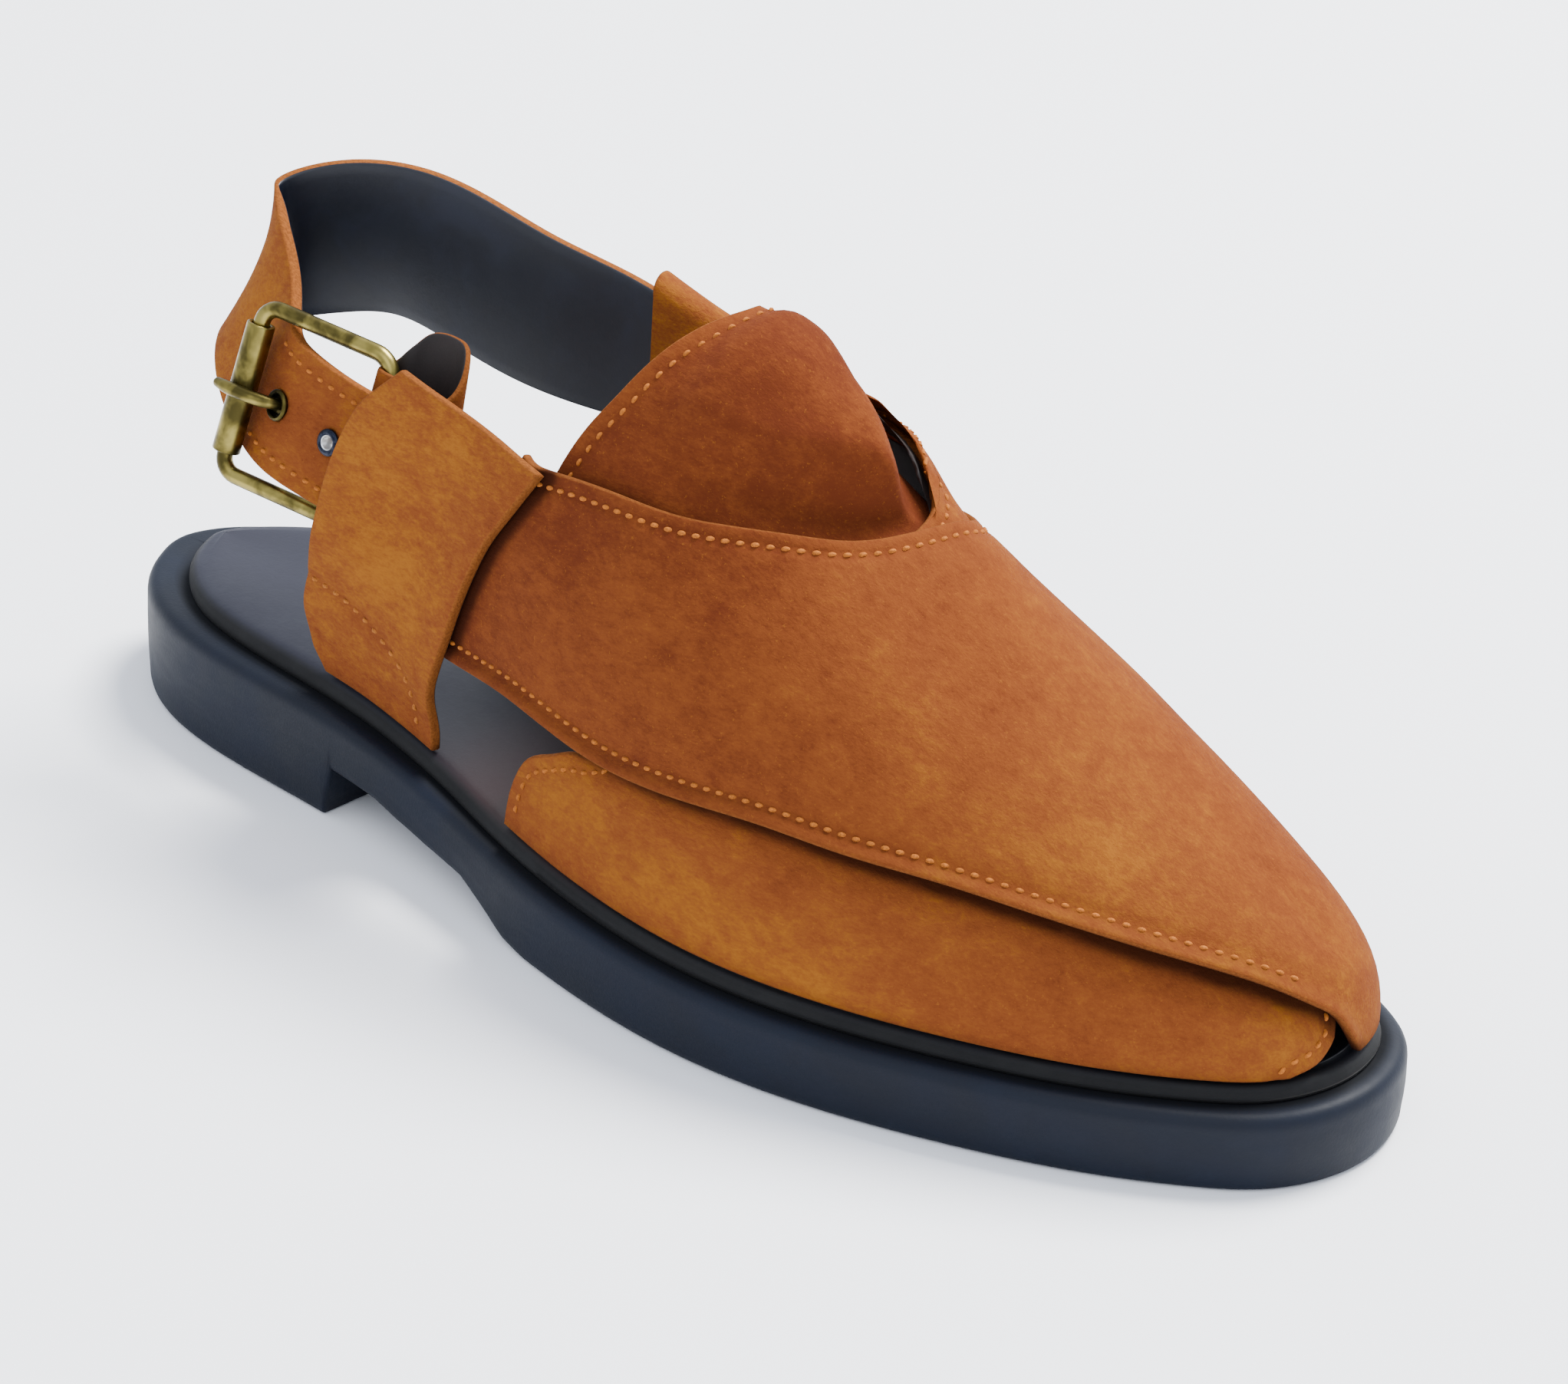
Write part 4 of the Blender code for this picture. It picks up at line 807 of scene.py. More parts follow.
def add_piece(
    name,
    points,
    faces,
    looks,
    marks=None,
    face_looks=None,
    replaced=(),
    crease_angle=180,
):
    """A piece from points in millimetres: closed, faces outwards, riding on the one body."""
    mesh = raw_mesh(name, points, faces)
    for mark, values in (marks or {}).items():
        made = mesh.attributes.new(mark, "FLOAT", "POINT")
        made.data.foreach_set("value", np.asarray(values, np.float32).ravel())
    for look in looks:
        mesh.materials.append(look)
    if face_looks is not None:
        mesh.polygons.foreach_set("material_index", np.asarray(face_looks, np.int32))
    close_up(mesh)
    mesh.shade_smooth()
    if crease_angle < 180:
        mesh.set_sharp_from_angle(angle=math.radians(crease_angle))
    made = placed(name, mesh)
    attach(made, "root")
    if replaced:
        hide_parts(*replaced)
    return made


def tube(path, radii, across, sides, closed=False):
    """Round wire: circles of the given radii along a path that is square to the given direction.

    An open wire ends in caps drawn in to a point over their last radius.
    """
    path, across = np.asarray(path, float), unit(across)
    radii = np.broadcast_to(np.asarray(radii, float), len(path))
    along = run_direction(path, closed)
    if not closed:
        turn = np.linspace(0, math.pi / 2, CAP_ROWS + 1)[1:]
        steps = np.sin(turn)[:, None] * radii[-1] * along[-1]
        back = np.sin(turn[::-1])[:, None] * radii[0] * along[0]
        path = np.vstack([path[0] - back, path, path[-1] + steps])
        narrowed = np.maximum(np.cos(turn), CAP_POINT)
        radii = np.concatenate([radii[0] * narrowed[::-1], radii, radii[-1] * narrowed])
        along = np.vstack([along[:1]] * CAP_ROWS + [along] + [along[-1:]] * CAP_ROWS)
    beside = unit(np.cross(along, across))
    angles = round_angles(sides)
    cosines, sines = np.cos(angles)[None, :, None], np.sin(angles)[None, :, None]
    circle = cosines * beside[:, None] + sines * across
    points = path[:, None] + circle * radii[:, None, None]
    numbers = grid_numbers(len(path), sides)
    if closed:
        numbers = np.vstack([numbers, numbers[:1]])
    return points, quads(numbers, wrap=True)


def turned(centre, axis, profile, sides):
    """A closed profile of (radius, height) turned round an axis."""
    axis = unit(axis)
    beside = unit(np.cross(axis, OFF_AXIS))
    third = np.cross(axis, beside)
    angles = round_angles(sides)
    spokes = np.cos(angles)[:, None] * beside + np.sin(angles)[:, None] * third
    radius, height = np.asarray(profile, float).T[:, None, :, None]
    points = np.asarray(centre) + spokes[:, None] * radius + axis * height
    numbers = grid_numbers(sides, len(profile))
    return points, quads(np.vstack([numbers, numbers[:1]]), wrap=True)


def rounded_profile(corners, radius, steps=4):
    """A closed profile whose corners are rounded by quadratic arcs of the given reach."""
    corners = np.asarray(corners, float)
    before, after = np.roll(corners, 1, 0), np.roll(corners, -1, 0)
    to_before, to_after = before - corners, after - corners
    lengths = [np.linalg.norm(way, axis=1, keepdims=True) for way in (to_before, to_after)]
    start = corners + to_before * np.minimum(radius / lengths[0], CORNER_SHARE)
    end = corners + to_after * np.minimum(radius / lengths[1], CORNER_SHARE)
    t = np.linspace(0, 1, steps + 1)[None, :, None]
    arcs = (1 - t) ** 2 * start[:, None] + 2 * t * (1 - t) * corners[:, None] + t**2 * end[:, None]
    return arcs.reshape(-1, 2)


# Leather: sheets with relief, cut edges and seams


def grid_normals(outer, inner):
    """Unit normals of a grid, on the side away from the wall's inner face."""
    normals = unit(np.cross(np.gradient(outer, axis=1), np.gradient(outer, axis=0)))
    return normals if ((outer - inner) * normals).sum() > 0 else -normals


def distance_to(grid, line):
    """For each point of a grid, the distance to a line's nearest sample and its number."""
    flat = grid.reshape(-1, grid.shape[-1])
    squares = (flat * flat).sum(1)[:, None] + (line * line).sum(1)[None] - 2 * flat @ line.T
    nearest = squares.argmin(axis=1)
    away = np.sqrt(np.maximum(squares[np.arange(len(flat)), nearest], 0))
    return away.reshape(grid.shape[:-1]), nearest.reshape(grid.shape[:-1])


def on_grid(grid, places):
    """Points of a grid at fractional rows and columns, by bilinear blending."""
    row = np.clip(places[:, 0], 0, grid.shape[0] - 1 - GRID_END)
    column = np.clip(places[:, 1], 0, grid.shape[1] - 1 - GRID_END)
    r, c = row.astype(int), column.astype(int)
    down, across = (row - r)[:, None], (column - c)[:, None]
    upper = (1 - across) * grid[r, c] + across * grid[r, c + 1]
    lower = (1 - across) * grid[r + 1, c] + across * grid[r + 1, c + 1]
    return (1 - down) * upper + down * lower


def even_places(grid, places, pitch):
    """Places along a line on a grid, spaced by the pitch."""
    points = on_grid(grid, places)
    run = knots_between(points, 1.0)
    at = np.linspace(0, run[-1], max(int(round(run[-1] / pitch)), 1) + 1)
    return np.stack([np.interp(at, run, places[:, axis]) for axis in (0, 1)], axis=1)


def seam_places(grid, edge, distance, from_last=False):
    """Places where each column of a grid first lies a distance from an edge line."""
    away = distance_to(grid, edge)[0]
    away = away[::-1] if from_last else away
    reached = away >= distance
    first = reached.argmax(axis=0)
    column = np.nonzero(reached.any(axis=0) & (first > 0))[0]
    first = first[column]
    low, high = away[first - 1, column], away[first, column]
    row = first - 1 + (distance - low) / (high - low)
    row = len(away) - 1 - row if from_last else row
    return np.stack([row, column], axis=1)


def shares_to_places(grid, rows):
    """Fractional rows and columns of (down, across) shares of a grid."""
    return np.asarray(rows, float) * (np.array(grid.shape[:2]) - 1)


def from_line(grid, start, end):
    """A grid's distances from a line between two (down, across) shares, and how far along it."""
    ends = shares_to_places(grid, [start, end])
    line = on_grid(grid, ends[0] + (ends[1] - ends[0]) * np.linspace(0, 1, LINE_SAMPLES)[:, None])
    away, nearest = distance_to(grid, line)
    return away, nearest / (LINE_SAMPLES - 1)


def bell(distance, width):
    """1 at distance 0, falling as a Gaussian of the given width."""
    return np.exp(-((distance / width) ** 2))


def relief(grid, folds):
    """Soft folds: each row a line between two (down, across) shares, its depth and width.

    Across the line the surface sinks as a bell of the given width and swells to half that height
    beside it. The fold fades in and out over its first and last third.
    """
    height = np.zeros(grid.shape[:2])
    for down, across, down_end, across_end, depth, width in folds:
        away, share = from_line(grid, (down, across), (down_end, across_end))
        fade = ease(np.minimum(share, 1 - share), *FOLD_FADE)
        swell = bell(away - FOLD_SWELL_AT * width, width)
        height += depth * fade * (FOLD_SWELL * swell - bell(away, width))
    return height


def strokes(grid, table):
    """Nap brushed lighter (positive tone) or darker along lines of a given width."""
    tone = np.zeros(grid.shape[:2])
    for down, across, down_end, across_end, width, amount in table:
        tone += amount * bell(from_line(grid, (down, across), (down_end, across_end))[0], width)
    return tone


def seam_trough(grid, seams):
    """Leather pulled down along each seam, and a little more at every stitch's ends."""
    height = np.zeros(grid.shape[:2])
    for places, pitch in seams:
        fine = even_places(grid, places, SEAM_STEP)
        line = on_grid(grid, fine)
        away, nearest = distance_to(grid, line)
        run = knots_between(line, 1.0)
        pucker = 1 + SEAM_PUCKER * np.cos(2 * math.pi * run[nearest] / pitch)
        height -= SEAM_DEPTH * bell(away, SEAM_WIDTH) * pucker
    return height


def perimeter(rows, columns):
    """Row and column numbers once round a grid's edge."""
    down, across = np.arange(rows), np.arange(columns)
    row = np.concatenate([0 * across[:-1], down[:-1], 0 * across[:-1] + rows - 1, down[:0:-1]])
    still = 0 * down[:-1]
    column = np.concatenate([across[:-1], still + columns - 1, across[:0:-1], still])
    return row, column


def rim_loop(outer, inner, loop, inside):
    """Middle, half wall, normal and outward direction of a cut edge along a loop of grid places."""
    high, low = outer[loop], inner[loop]
    normal = unit(high - low)
    half = np.linalg.norm(high - low, axis=1, keepdims=True) / 2
    middle = (high + low) / 2
    away = unit(np.cross(run_direction(middle, True, 2), normal))
    inwards = (outer[inside] + inner[inside]) / 2 - middle
    if (away * inwards).sum() > 0:
        away = -away
    return middle, half, normal, away


def leather_sheet(outer, inner, closed=False, turned_rows=0):
    """Points, faces, edge marks and inner-face flags of a sheet whose cut edges are rounded.

    The faces' edges draw in by EDGE_BULGE and rows of points bow out between them on a flattened
    oval. The given number of rows of the inner face, next to the grid's first row, count as outer
    leather.
    """
    rows, columns = outer.shape[:2]
    if closed:
        across = np.arange(columns)
        ends = ((0, 1), (rows - 1, rows - 2))
        still = 0 * across
        loops = [((still + end, across), (still + beside, across)) for end, beside in ends]
    else:
        row, column = perimeter(rows, columns)
        loops = [((row, column), (np.clip(row, 1, rows - 2), np.clip(column, 1, columns - 2)))]
    outer, inner = outer.copy(), inner.copy()
    rims = [rim_loop(outer, inner, loop, inside) for loop, inside in loops]
    for middle, half, _, away in rims:
        for face in (outer, inner):
            distance, nearest = distance_to(face, middle)
            reach = np.clip(1 - distance / (EDGE_REACH + half.mean()), 0, 1) ** 2
            face -= away[nearest] * (EDGE_BULGE * reach)[..., None]
    face_grid = grid_numbers(rows, columns)
    points = [outer.reshape(-1, 3), inner.reshape(-1, 3)]
    faces = [quads(face_grid, closed), quads(face_grid[::-1] + rows * columns, closed)]
    edge = [np.zeros(2 * rows * columns)]
    rows_up = np.repeat(np.arange(rows - 1)[::-1], len(faces[1]) // (rows - 1))
    lining = [np.zeros(len(faces[0]), int), (rows_up >= turned_rows).astype(int)]
    count = 2 * rows * columns
    for (loop, _), (middle, half, normal, away) in zip(loops, rims):
        bow = np.cos(EDGE_TURNS)[:, None, None] ** EDGE_SQUARE
        rise = (np.sign(EDGE_TURNS) * np.abs(np.sin(EDGE_TURNS)) ** EDGE_SQUARE)[:, None, None]
        drawn = middle - away * EDGE_BULGE * (EDGE_REACH / (EDGE_REACH + half.mean())) ** 2
        made = drawn + away * EDGE_BULGE * bow + normal * half * rise
        numbers = grid_numbers(len(EDGE_TURNS), len(middle), count)
        ends = [face_grid[loop][None], face_grid[loop][None] + rows * columns]
        faces.append(quads(np.vstack([ends[0], numbers, ends[1]]), wrap=True))
        step, place = np.divmod(np.arange(len(faces[-1])), len(middle))
        lining.append(((step > len(EDGE_TURNS) - 2) & (loop[0][place] >= turned_rows)).astype(int))
        points.append(made.reshape(-1, 3))
        edge.append(np.ones(numbers.size))
        count += numbers.size
    return tuple(np.concatenate(each) for each in (points, faces, edge, lining))


def add_leather(
    name,
    outer,
    inner,
    looks,
    folds=(),
    naps=(),
    seams=(),
    thread=None,
    lift=0.0,
    closed=False,
    turned_rows=0,
    over=None,
    replaced=None,
):
    """A leather piece from its plain outer and inner grids, with folds, nap, seams and edge lift.

    Both faces move together along the outer face's normals. Shade is painted at its foot and along
    the edge of the piece over it. Thread is the name and look of the stitches sewn along its seams.
    """
    normals = grid_normals(outer, inner)
    height = relief(outer, folds) + seam_trough(outer, seams)
    moved = (height + lift)[..., None] * normals
    nap = strokes(outer, naps) + NAP_ON_FOLDS * height
    outer, inner = outer + moved, inner + moved
    points, faces, edge, lining = leather_sheet(outer, inner, closed, turned_rows)
    spread = np.zeros(len(points))
    spread[: nap.size] = nap.ravel()
    # Painted shade: darker towards the foot where the piece meets the footbed, and along the edge
    # of the piece over it
    low = FOOT_SHADE * np.exp(-np.maximum(points[:, 2] - footbed_top(points[:, 0]), 0) / FOOT_SHADE_HEIGHT)
    if over is not None:
        low = np.maximum(low, bell(distance_to(points, over)[0], CREVICE_REACH))
    marks = {"cut_edge": edge, "brushed": spread, "soil": low}
    replaces = [replaced] if replaced else ()
    made = add_piece(name, points, faces, looks, marks, lining, replaced=replaces)
    if thread:
        normals = grid_normals(outer, inner)
        add_stitches(thread[0], outer, normals, seams, thread[1])
    return made


def add_stitches(name, grid, normals, lines, look):
    """Stitches along lines on a grid: slim grains that rise from the leather at their middle."""
    around = round_angles(STITCH_SIDES)
    turn = np.linspace(0, math.pi, STITCH_RINGS)
    full = np.sin(turn)[:, None] ** STITCH_FULLNESS
    sink = (np.cos(turn)[:, None] ** 2 - STITCH_OVER) * STITCH_SINK
    size = bpy.context.scene.chappal_sizes
    length, width = size.stitch_length / METRES, size.thread_width / METRES
    points, faces = [], []
    numbers = grid_numbers(STITCH_RINGS, STITCH_SIDES)
    for places, pitch in lines:
        spots = even_places(grid, places, pitch)
        middles = (spots[1:] + spots[:-1]) / 2
        centre, up = on_grid(grid, middles), unit(on_grid(normals, middles))
        along = unit(on_grid(grid, spots[1:]) - on_grid(grid, spots[:-1]))
        beside = unit(np.cross(up, along))
        along = unit(along + beside * STITCH_SLANT)
        beside = np.cross(up, along)
        x = -np.cos(turn)[:, None] * length / 2 + 0 * around
        y = full * np.cos(around) * width / 2
        z = full * np.sin(around) * width * STITCH_FLATNESS - sink
        axes = zip((along, beside, up), (x, y, z))
        grain = sum(axis[:, None, None] * part[..., None] for axis, part in axes)
        start = sum(len(made) for made in points)
        made = (centre[:, None, None] + grain).reshape(-1, 3)
        shifts = start + np.arange(len(centre)) * numbers.size
        faces.append((quads(numbers, wrap=True)[None] + shifts[:, None, None]).reshape(-1, 4))
        points.append(made)
    return add_piece(name, np.concatenate(points), np.concatenate(faces), [look])


# Sole


def sole_sections(edge, levels, top, under, columns):
    """Closed sections across a flat piece, one row for each station, both tips being points.

    A section runs over the top from the outer side to the inner one, down that side through the
    levels (inset, height at x), back below and up the outer side.
    """
    stations = sole_stations()
    ring = station_ring(edge, stations)
    count = len(stations) + 2
    walls = []
    for depth, height in levels:
        flat = inset(ring, depth(ring[:, 0]) if callable(depth) else depth)
        wall = np.column_stack([flat, height(flat[:, 0])])
        outer, inner = wall[:count], np.vstack([wall[:1], wall[count - 1 :][::-1]])
        walls.append((outer, inner))
    share = np.linspace(0, 1, columns + 1)[None, :, None]
    faces = []
    for (outer, inner), height in ((walls[0], top), (walls[-1], under)):
        face = outer[:, None] * (1 - share) + inner[:, None] * share
        face[..., 2] = height(face[..., 0], share[..., 0])
        faces.append(face[:, 1:-1])
    outer_wall = np.stack([outer for outer, _ in walls], axis=1)
    inner_wall = np.stack([inner for _, inner in walls], axis=1)
    return np.concatenate([faces[0], inner_wall, faces[1][:, ::-1], outer_wall[:, ::-1]], axis=1)


def station_ring(edge, stations):
    """A ring with the same x in both halves: heel's tip, outer side, toe's tip, inner side."""
    outer, inner = halves(edge)
    heel, toe = edge[edge[:, 0].argmin()], edge[edge[:, 0].argmax()]
    span = np.clip((stations - HEEL_BACK[0]) / (TOE_TIP[0] - HEEL_BACK[0]), 0, 1)
    x = heel[0] + span * (toe[0] - heel[0])
    lower = np.stack([x, np.interp(x, outer[:, 0], outer[:, 1])], axis=1)
    upper = np.stack([x, np.interp(x, inner[:, 0], inner[:, 1])], axis=1)
    return np.vstack([heel, lower, toe, upper[::-1]])


def sole_stations():
    """x of the sections: close together at both tips, with the heel breast's own edges."""
    low, high = HEEL_BACK[0], TOE_TIP[0]
    turns = np.cos(np.linspace(0, math.pi, SOLE_SECTIONS))[1:-1]
    rows = (low + high) / 2 - (high - low) / 2 * turns
    rows = rows[np.abs(rows - np.mean(HEEL_BREAST)) > BREAST_CLEAR]
    return np.sort(np.concatenate([rows, HEEL_BREAST, BREAST_ROWS]))


def build_outsole():
    """Rubber sole: heel block, breast, raised waist and flat forefoot, softly rounded above."""

    def top(x):
        return smooth(OUTSOLE_TOP, x)

    def under(x):
        return straight(OUTSOLE_UNDER, x)

    def level(share, drop):
        return lambda x: (1 - share) * (top(x) - drop) + share * (under(x) + drop)

    def shelf(share):
        crest = OUTSOLE_SHOULDER[0][0]
        return lambda x: crest + share * (smooth(FOOTBED_MARGIN, x) + OUTSOLE_SHELF_UNDER - crest)

    levels = [(shelf(share), top) for share in OUTSOLE_SHELF]
    levels += [(depth, lambda x, drop=drop: top(x) - drop) for depth, drop in OUTSOLE_SHOULDER]
    levels += [(bow, level(share, OUTSOLE_SIDE_MARGIN)) for share, bow in OUTSOLE_SIDE]
    levels += [(depth, lambda x, rise=rise: under(x) + rise) for depth, rise in OUTSOLE_FOOT]
    sections = sole_sections(
        OUTSOLE_EDGE, levels, lambda x, _: top(x), lambda x, _: under(x), OUTSOLE_COLUMNS
    )
    # Painted shade: the outsole's top darkens next to the footbed
    from_footbed = distance_to(sections[..., :2], FOOTBED_EDGE)[0]
    high = sections[..., 2] > top(sections[..., 0]) - OUTSOLE_TOP_DROP
    marks = {"shelf": high * (1 - ease(from_footbed, *OUTSOLE_SHADE_REACH))}
    faces = quads(grid_numbers(*sections.shape[:2]), wrap=True)
    looks = [rubber_look("outsole_rubber")]
    add_piece(
        "outsole_rubber",
        sections,
        faces,
        looks,
        marks,
        replaced=["outsole"],
        crease_angle=OUTSOLE_CREASE,
    )


def build_footbed():
    """Footbed: rounded over its edge, a little crowned, pressed in under the heel and ball."""

    def edge(x):
        return footbed_top(x) - FOOTBED_CROWN

    def top(x, share):
        height = edge(x) + FOOTBED_CROWN * np.sin(math.pi * share) ** 0.5
        for middle, depth, reach in FOOTBED_HOLLOWS:
            height = height - depth * bell(x - middle, reach) * np.sin(math.pi * share) ** 2
        return height

    def under(x):
        return smooth(OUTSOLE_TOP, x) + FOOTBED_GAP

    levels = [(depth, lambda x, drop=drop: edge(x) - drop) for depth, drop in FOOTBED_SHOULDER]
    levels += [(depth, lambda x, rise=rise: under(x) + rise) for depth, rise in FOOTBED_FOOT]
    sections = sole_sections(FOOTBED_EDGE, levels, top, lambda x, _: under(x), FOOTBED_COLUMNS)
    faces = quads(grid_numbers(*sections.shape[:2]), wrap=True)
    # Painted shade down the footbed's side
    marks = {"side": ease(edge(sections[..., 0]) - sections[..., 2], *FOOTBED_SIDE_SHADE)}
    looks = [footbed_look("footbed_cover")]
    add_piece("footbed", sections, faces, looks, marks, replaced=["insole"])


# Panels over the foot


def patch(throat, front, start, end, down):
    """Grid in unrolled plan coordinates filled between four edges that meet at their ends."""
    down = down[:, None, None]
    along = np.linspace(0, 1, len(throat))[None, :, None]
    ruled = (1 - down) * throat[None] + down * front[None]
    crossed = (1 - along) * start[:, None] + along * end[:, None]
    corners = (1 - down) * ((1 - along) * throat[0] + along * throat[-1]) + down * (
        (1 - along) * front[0] + along * front[-1]
    )
    return ruled + crossed - corners


def leather_edge_run(start, end, side, shares):
    """Unrolled foot of the leather from one station to another, at shares of its length."""
    station = start + (end - start) * np.linspace(0, 1, FOOT_SAMPLES)
    foot = np.stack([station, leather_edge_y(station, side)], axis=1)
    return along_line(foot, shares)


def panel_plan(throat, front, rear, side):
    """Unrolled grid of a panel, with its rows closer together towards the toe."""
    across = np.linspace(0, 1, PANEL_COLUMNS)
    down = 1 - (1 - np.linspace(0, 1, PANEL_ROWS)) ** ROW_CROWDING
    throat = even_curve(unrolled(throat), across)
    front = even_curve(unrolled(front), across)
    start = even_curve(unrolled(rear), down)
    end = leather_edge_run(throat[-1, 0], front[-1, 0], side, down)
    throat[-1], front[-1] = end[0], end[-1]
    start[0], start[-1] = throat[0], front[0]
    return patch(throat, front, start, end, down)


def under_panel_depth(plan):
    """How far the under panel dips: below the top panel, and where its rear end is tucked in."""
    station, wrap = rolled(plan)
    height = last_point(station, wrap)[..., 2] - footbed_top(station)
    outer = ease(height, *UNDER_DIP_HEIGHTS)
    throat = smooth(TOP_PANEL_THROAT_INNER, np.maximum(wrap, 0))
    crossed = UNDER_PANEL_DEPTH * ease(station - throat, *UNDER_DIP_PAST_THROAT)
    tucked = UNDER_PANEL_TUCK * ease(-station, *TUCKED_STATIONS)
    return np.where(wrap < 0, UNDER_PANEL_DEPTH * outer, np.maximum(crossed, tucked))


def stitch_pitch():
    """Distance from one stitch to the next, in millimetres."""
    return bpy.context.scene.chappal_sizes.stitch_pitch / METRES


def edge_seam(grid, row, distance, pitch, clear):
    """A seam beside the first row (0) or the last one (-1), where it is clear of the footbed."""
    places = seam_places(grid, grid[row], distance, from_last=row < 0)
    points = on_grid(grid, places)
    return places[points[:, 2] > footbed_top(points[:, 0]) + clear], pitch


def build_panels():
    """The two crossed panels: the under one, then the top one, whose front edge stands off it."""
    pitch = stitch_pitch() * PANEL_PITCH_SHARE
    lining = lining_look("panel_lining", "dark")
    top_plan = panel_plan(TOP_PANEL_THROAT, TOP_PANEL_FRONT, TOP_PANEL_REAR, 1)
    top = on_last(top_plan, 0)
    under_plan = panel_plan(UNDER_PANEL_THROAT, UNDER_PANEL_FRONT, UNDER_PANEL_REAR, -1)
    depth = under_panel_depth(under_plan)
    wrap = rolled(under_plan)[1]
    near = distance_to(on_last(under_plan, -depth), top[-1])[0]
    depth = depth + UNDER_PANEL_SINK * bell(near, UNDER_PANEL_SINK_WIDTH) * (wrap < 0)
    from_throat = distance_to(under_plan, under_plan[0])[0]
    stood = smooth(UNDER_PANEL_STAND, under_plan[..., 0])
    depth = depth - stood * (1 - ease(from_throat, 0, UNDER_PANEL_STAND_REACH)) * (wrap > 0)
    outer = on_last(under_plan, -depth)
    suede = suede_look("under_panel_suede", lie=0.55, edge=1.2, grain=1.3)
    thread = thread_look("panel_thread")
    add_leather(
        "under_panel",
        outer,
        on_last(under_plan, -depth - UNDER_PANEL_THICKNESS),
        [suede, lining],
        UNDER_PANEL_FOLDS,
        UNDER_PANEL_NAP,
        [edge_seam(outer, row, SEAM_INSET, pitch, UNDER_SEAM_CLEAR) for row in (0, -1)],
        ("under_panel_stitches", thread),
        turned_rows=TURNED_ROWS,
        # Painted shadow: this panel darkens along the top panel's front edge
        over=on_last(top_plan[-1], -UNDER_PANEL_DEPTH - UNDER_PANEL_SINK),
    )

    inner = on_last(top_plan, -PANEL_THICKNESS)
    front_seam = edge_seam(top, -1, TOP_FRONT_SEAM_INSET, pitch, TOP_SEAM_CLEAR)[0]
    front_seam = front_seam[on_grid(top, front_seam)[:, 0] < TOP_FRONT_SEAM_END]
    from_front = distance_to(top, top[-1])[0]
    free = ease(top[..., 2] - footbed_top(top[..., 0]), 0, TOP_FREE_HEIGHT)
    stand = bpy.context.scene.chappal_sizes.edge_lift / METRES
    add_leather(
        "top_panel",
        top,
        inner,
        [suede_look("top_panel_suede", lie=0.44, edge=1.2, grain=1.35), lining],
        TOP_PANEL_FOLDS,
        TOP_PANEL_NAP,
        [(front_seam, pitch), edge_seam(top, 0, SEAM_INSET, pitch, TOP_SEAM_CLEAR)],
        ("top_panel_stitches", thread),
        lift=stand * (1 - ease(from_front, 0, TOP_FRONT_SEAM_INSET)) * free,
        # Painted shade on this panel along the outer band's front edge and on its own front rim
        over=np.concatenate([lateral_band_grid()[1][:, -1], inner[-1]]),
        replaced="upper",
    )


def throat_line():
    """Edge of the throat's opening, unrolled: the top panel's outside, the under panel's inside."""
    shares = np.linspace(0, 1, THROAT_SAMPLES)
    throats = TOP_PANEL_THROAT, UNDER_PANEL_THROAT
    outer, inner = (even_curve(unrolled(line), shares) for line in throats)
    on_outer, on_inner = rolled(outer)[1] <= THROAT_CROSSING, rolled(inner)[1] > THROAT_CROSSING
    return np.concatenate([outer[on_outer], inner[on_inner]])


def tongue_offset(plan):
    """Height of the tongue's outer face: below the panels at its rims, lifted between."""
    station, wrap = rolled(plan)
    line = throat_line()
    edge_station, edge_wrap = rolled(line)
    order = np.argsort(edge_wrap)
    ahead = np.interp(wrap, edge_wrap[order], edge_station[order]) - station
    apart = distance_to(plan, line)[0]
    inside = ease(np.where(ahead > 0, apart, 0), *TONGUE_LIFT_INSIDE)
    from_crown = np.minimum(np.abs(wrap + TONGUE_CROWN_SHIFT) / TONGUE_LIFT_WRAP, 1)
    across = np.cos(math.pi / 2 * from_crown) ** 2
    tucked = UNDER_PANEL_TUCK * ease(-station, *TUCKED_STATIONS) * ease(wrap, *TONGUE_TUCK_WRAPS)
    beneath = TONGUE_DEPTH + UNDER_PANEL_DEPTH * ease(station, *TONGUE_BELOW_STATIONS) + tucked
    return smooth(TONGUE_LIFT, station) * across * inside - beneath


def build_tongue():
    """Leaf that stands up behind the crossing and runs on below it, stitched round its top."""
    shares = np.linspace(0, 1, TONGUE_ROWS)
    top = even_curve(unrolled(TONGUE_TOP), shares)
    tip_wraps = (shares * 2 - 1) * TONGUE_TIP_WRAP
    tip = unrolled(np.stack([np.full(len(shares), TONGUE_TIP_STATION), tip_wraps], axis=1))
    sides = [along_line([top[end], tip[end]], shares) for end in (0, -1)]
    plan = patch(top, tip, *sides, shares)
    offset = tongue_offset(plan)
    outer, inner = on_last(plan, offset), on_last(plan, offset - TONGUE_THICKNESS)
    seams = [(seam_places(outer, outer[0], TONGUE_SEAM_INSET), stitch_pitch())]
    suede = suede_look("tongue_suede", lie=0.12, edge=1.5, grain=1.3)
    looks = [suede, lining_look("tongue_lining", "dark")]
    thread = ("tongue_stitches", thread_look("tongue_thread"))
    add_leather(
        "tongue_leaf",
        outer,
        inner,
        looks,
        TONGUE_FOLDS,
        TONGUE_NAP,
        seams,
        thread,
        replaced="tongue",
    )


# Side bands


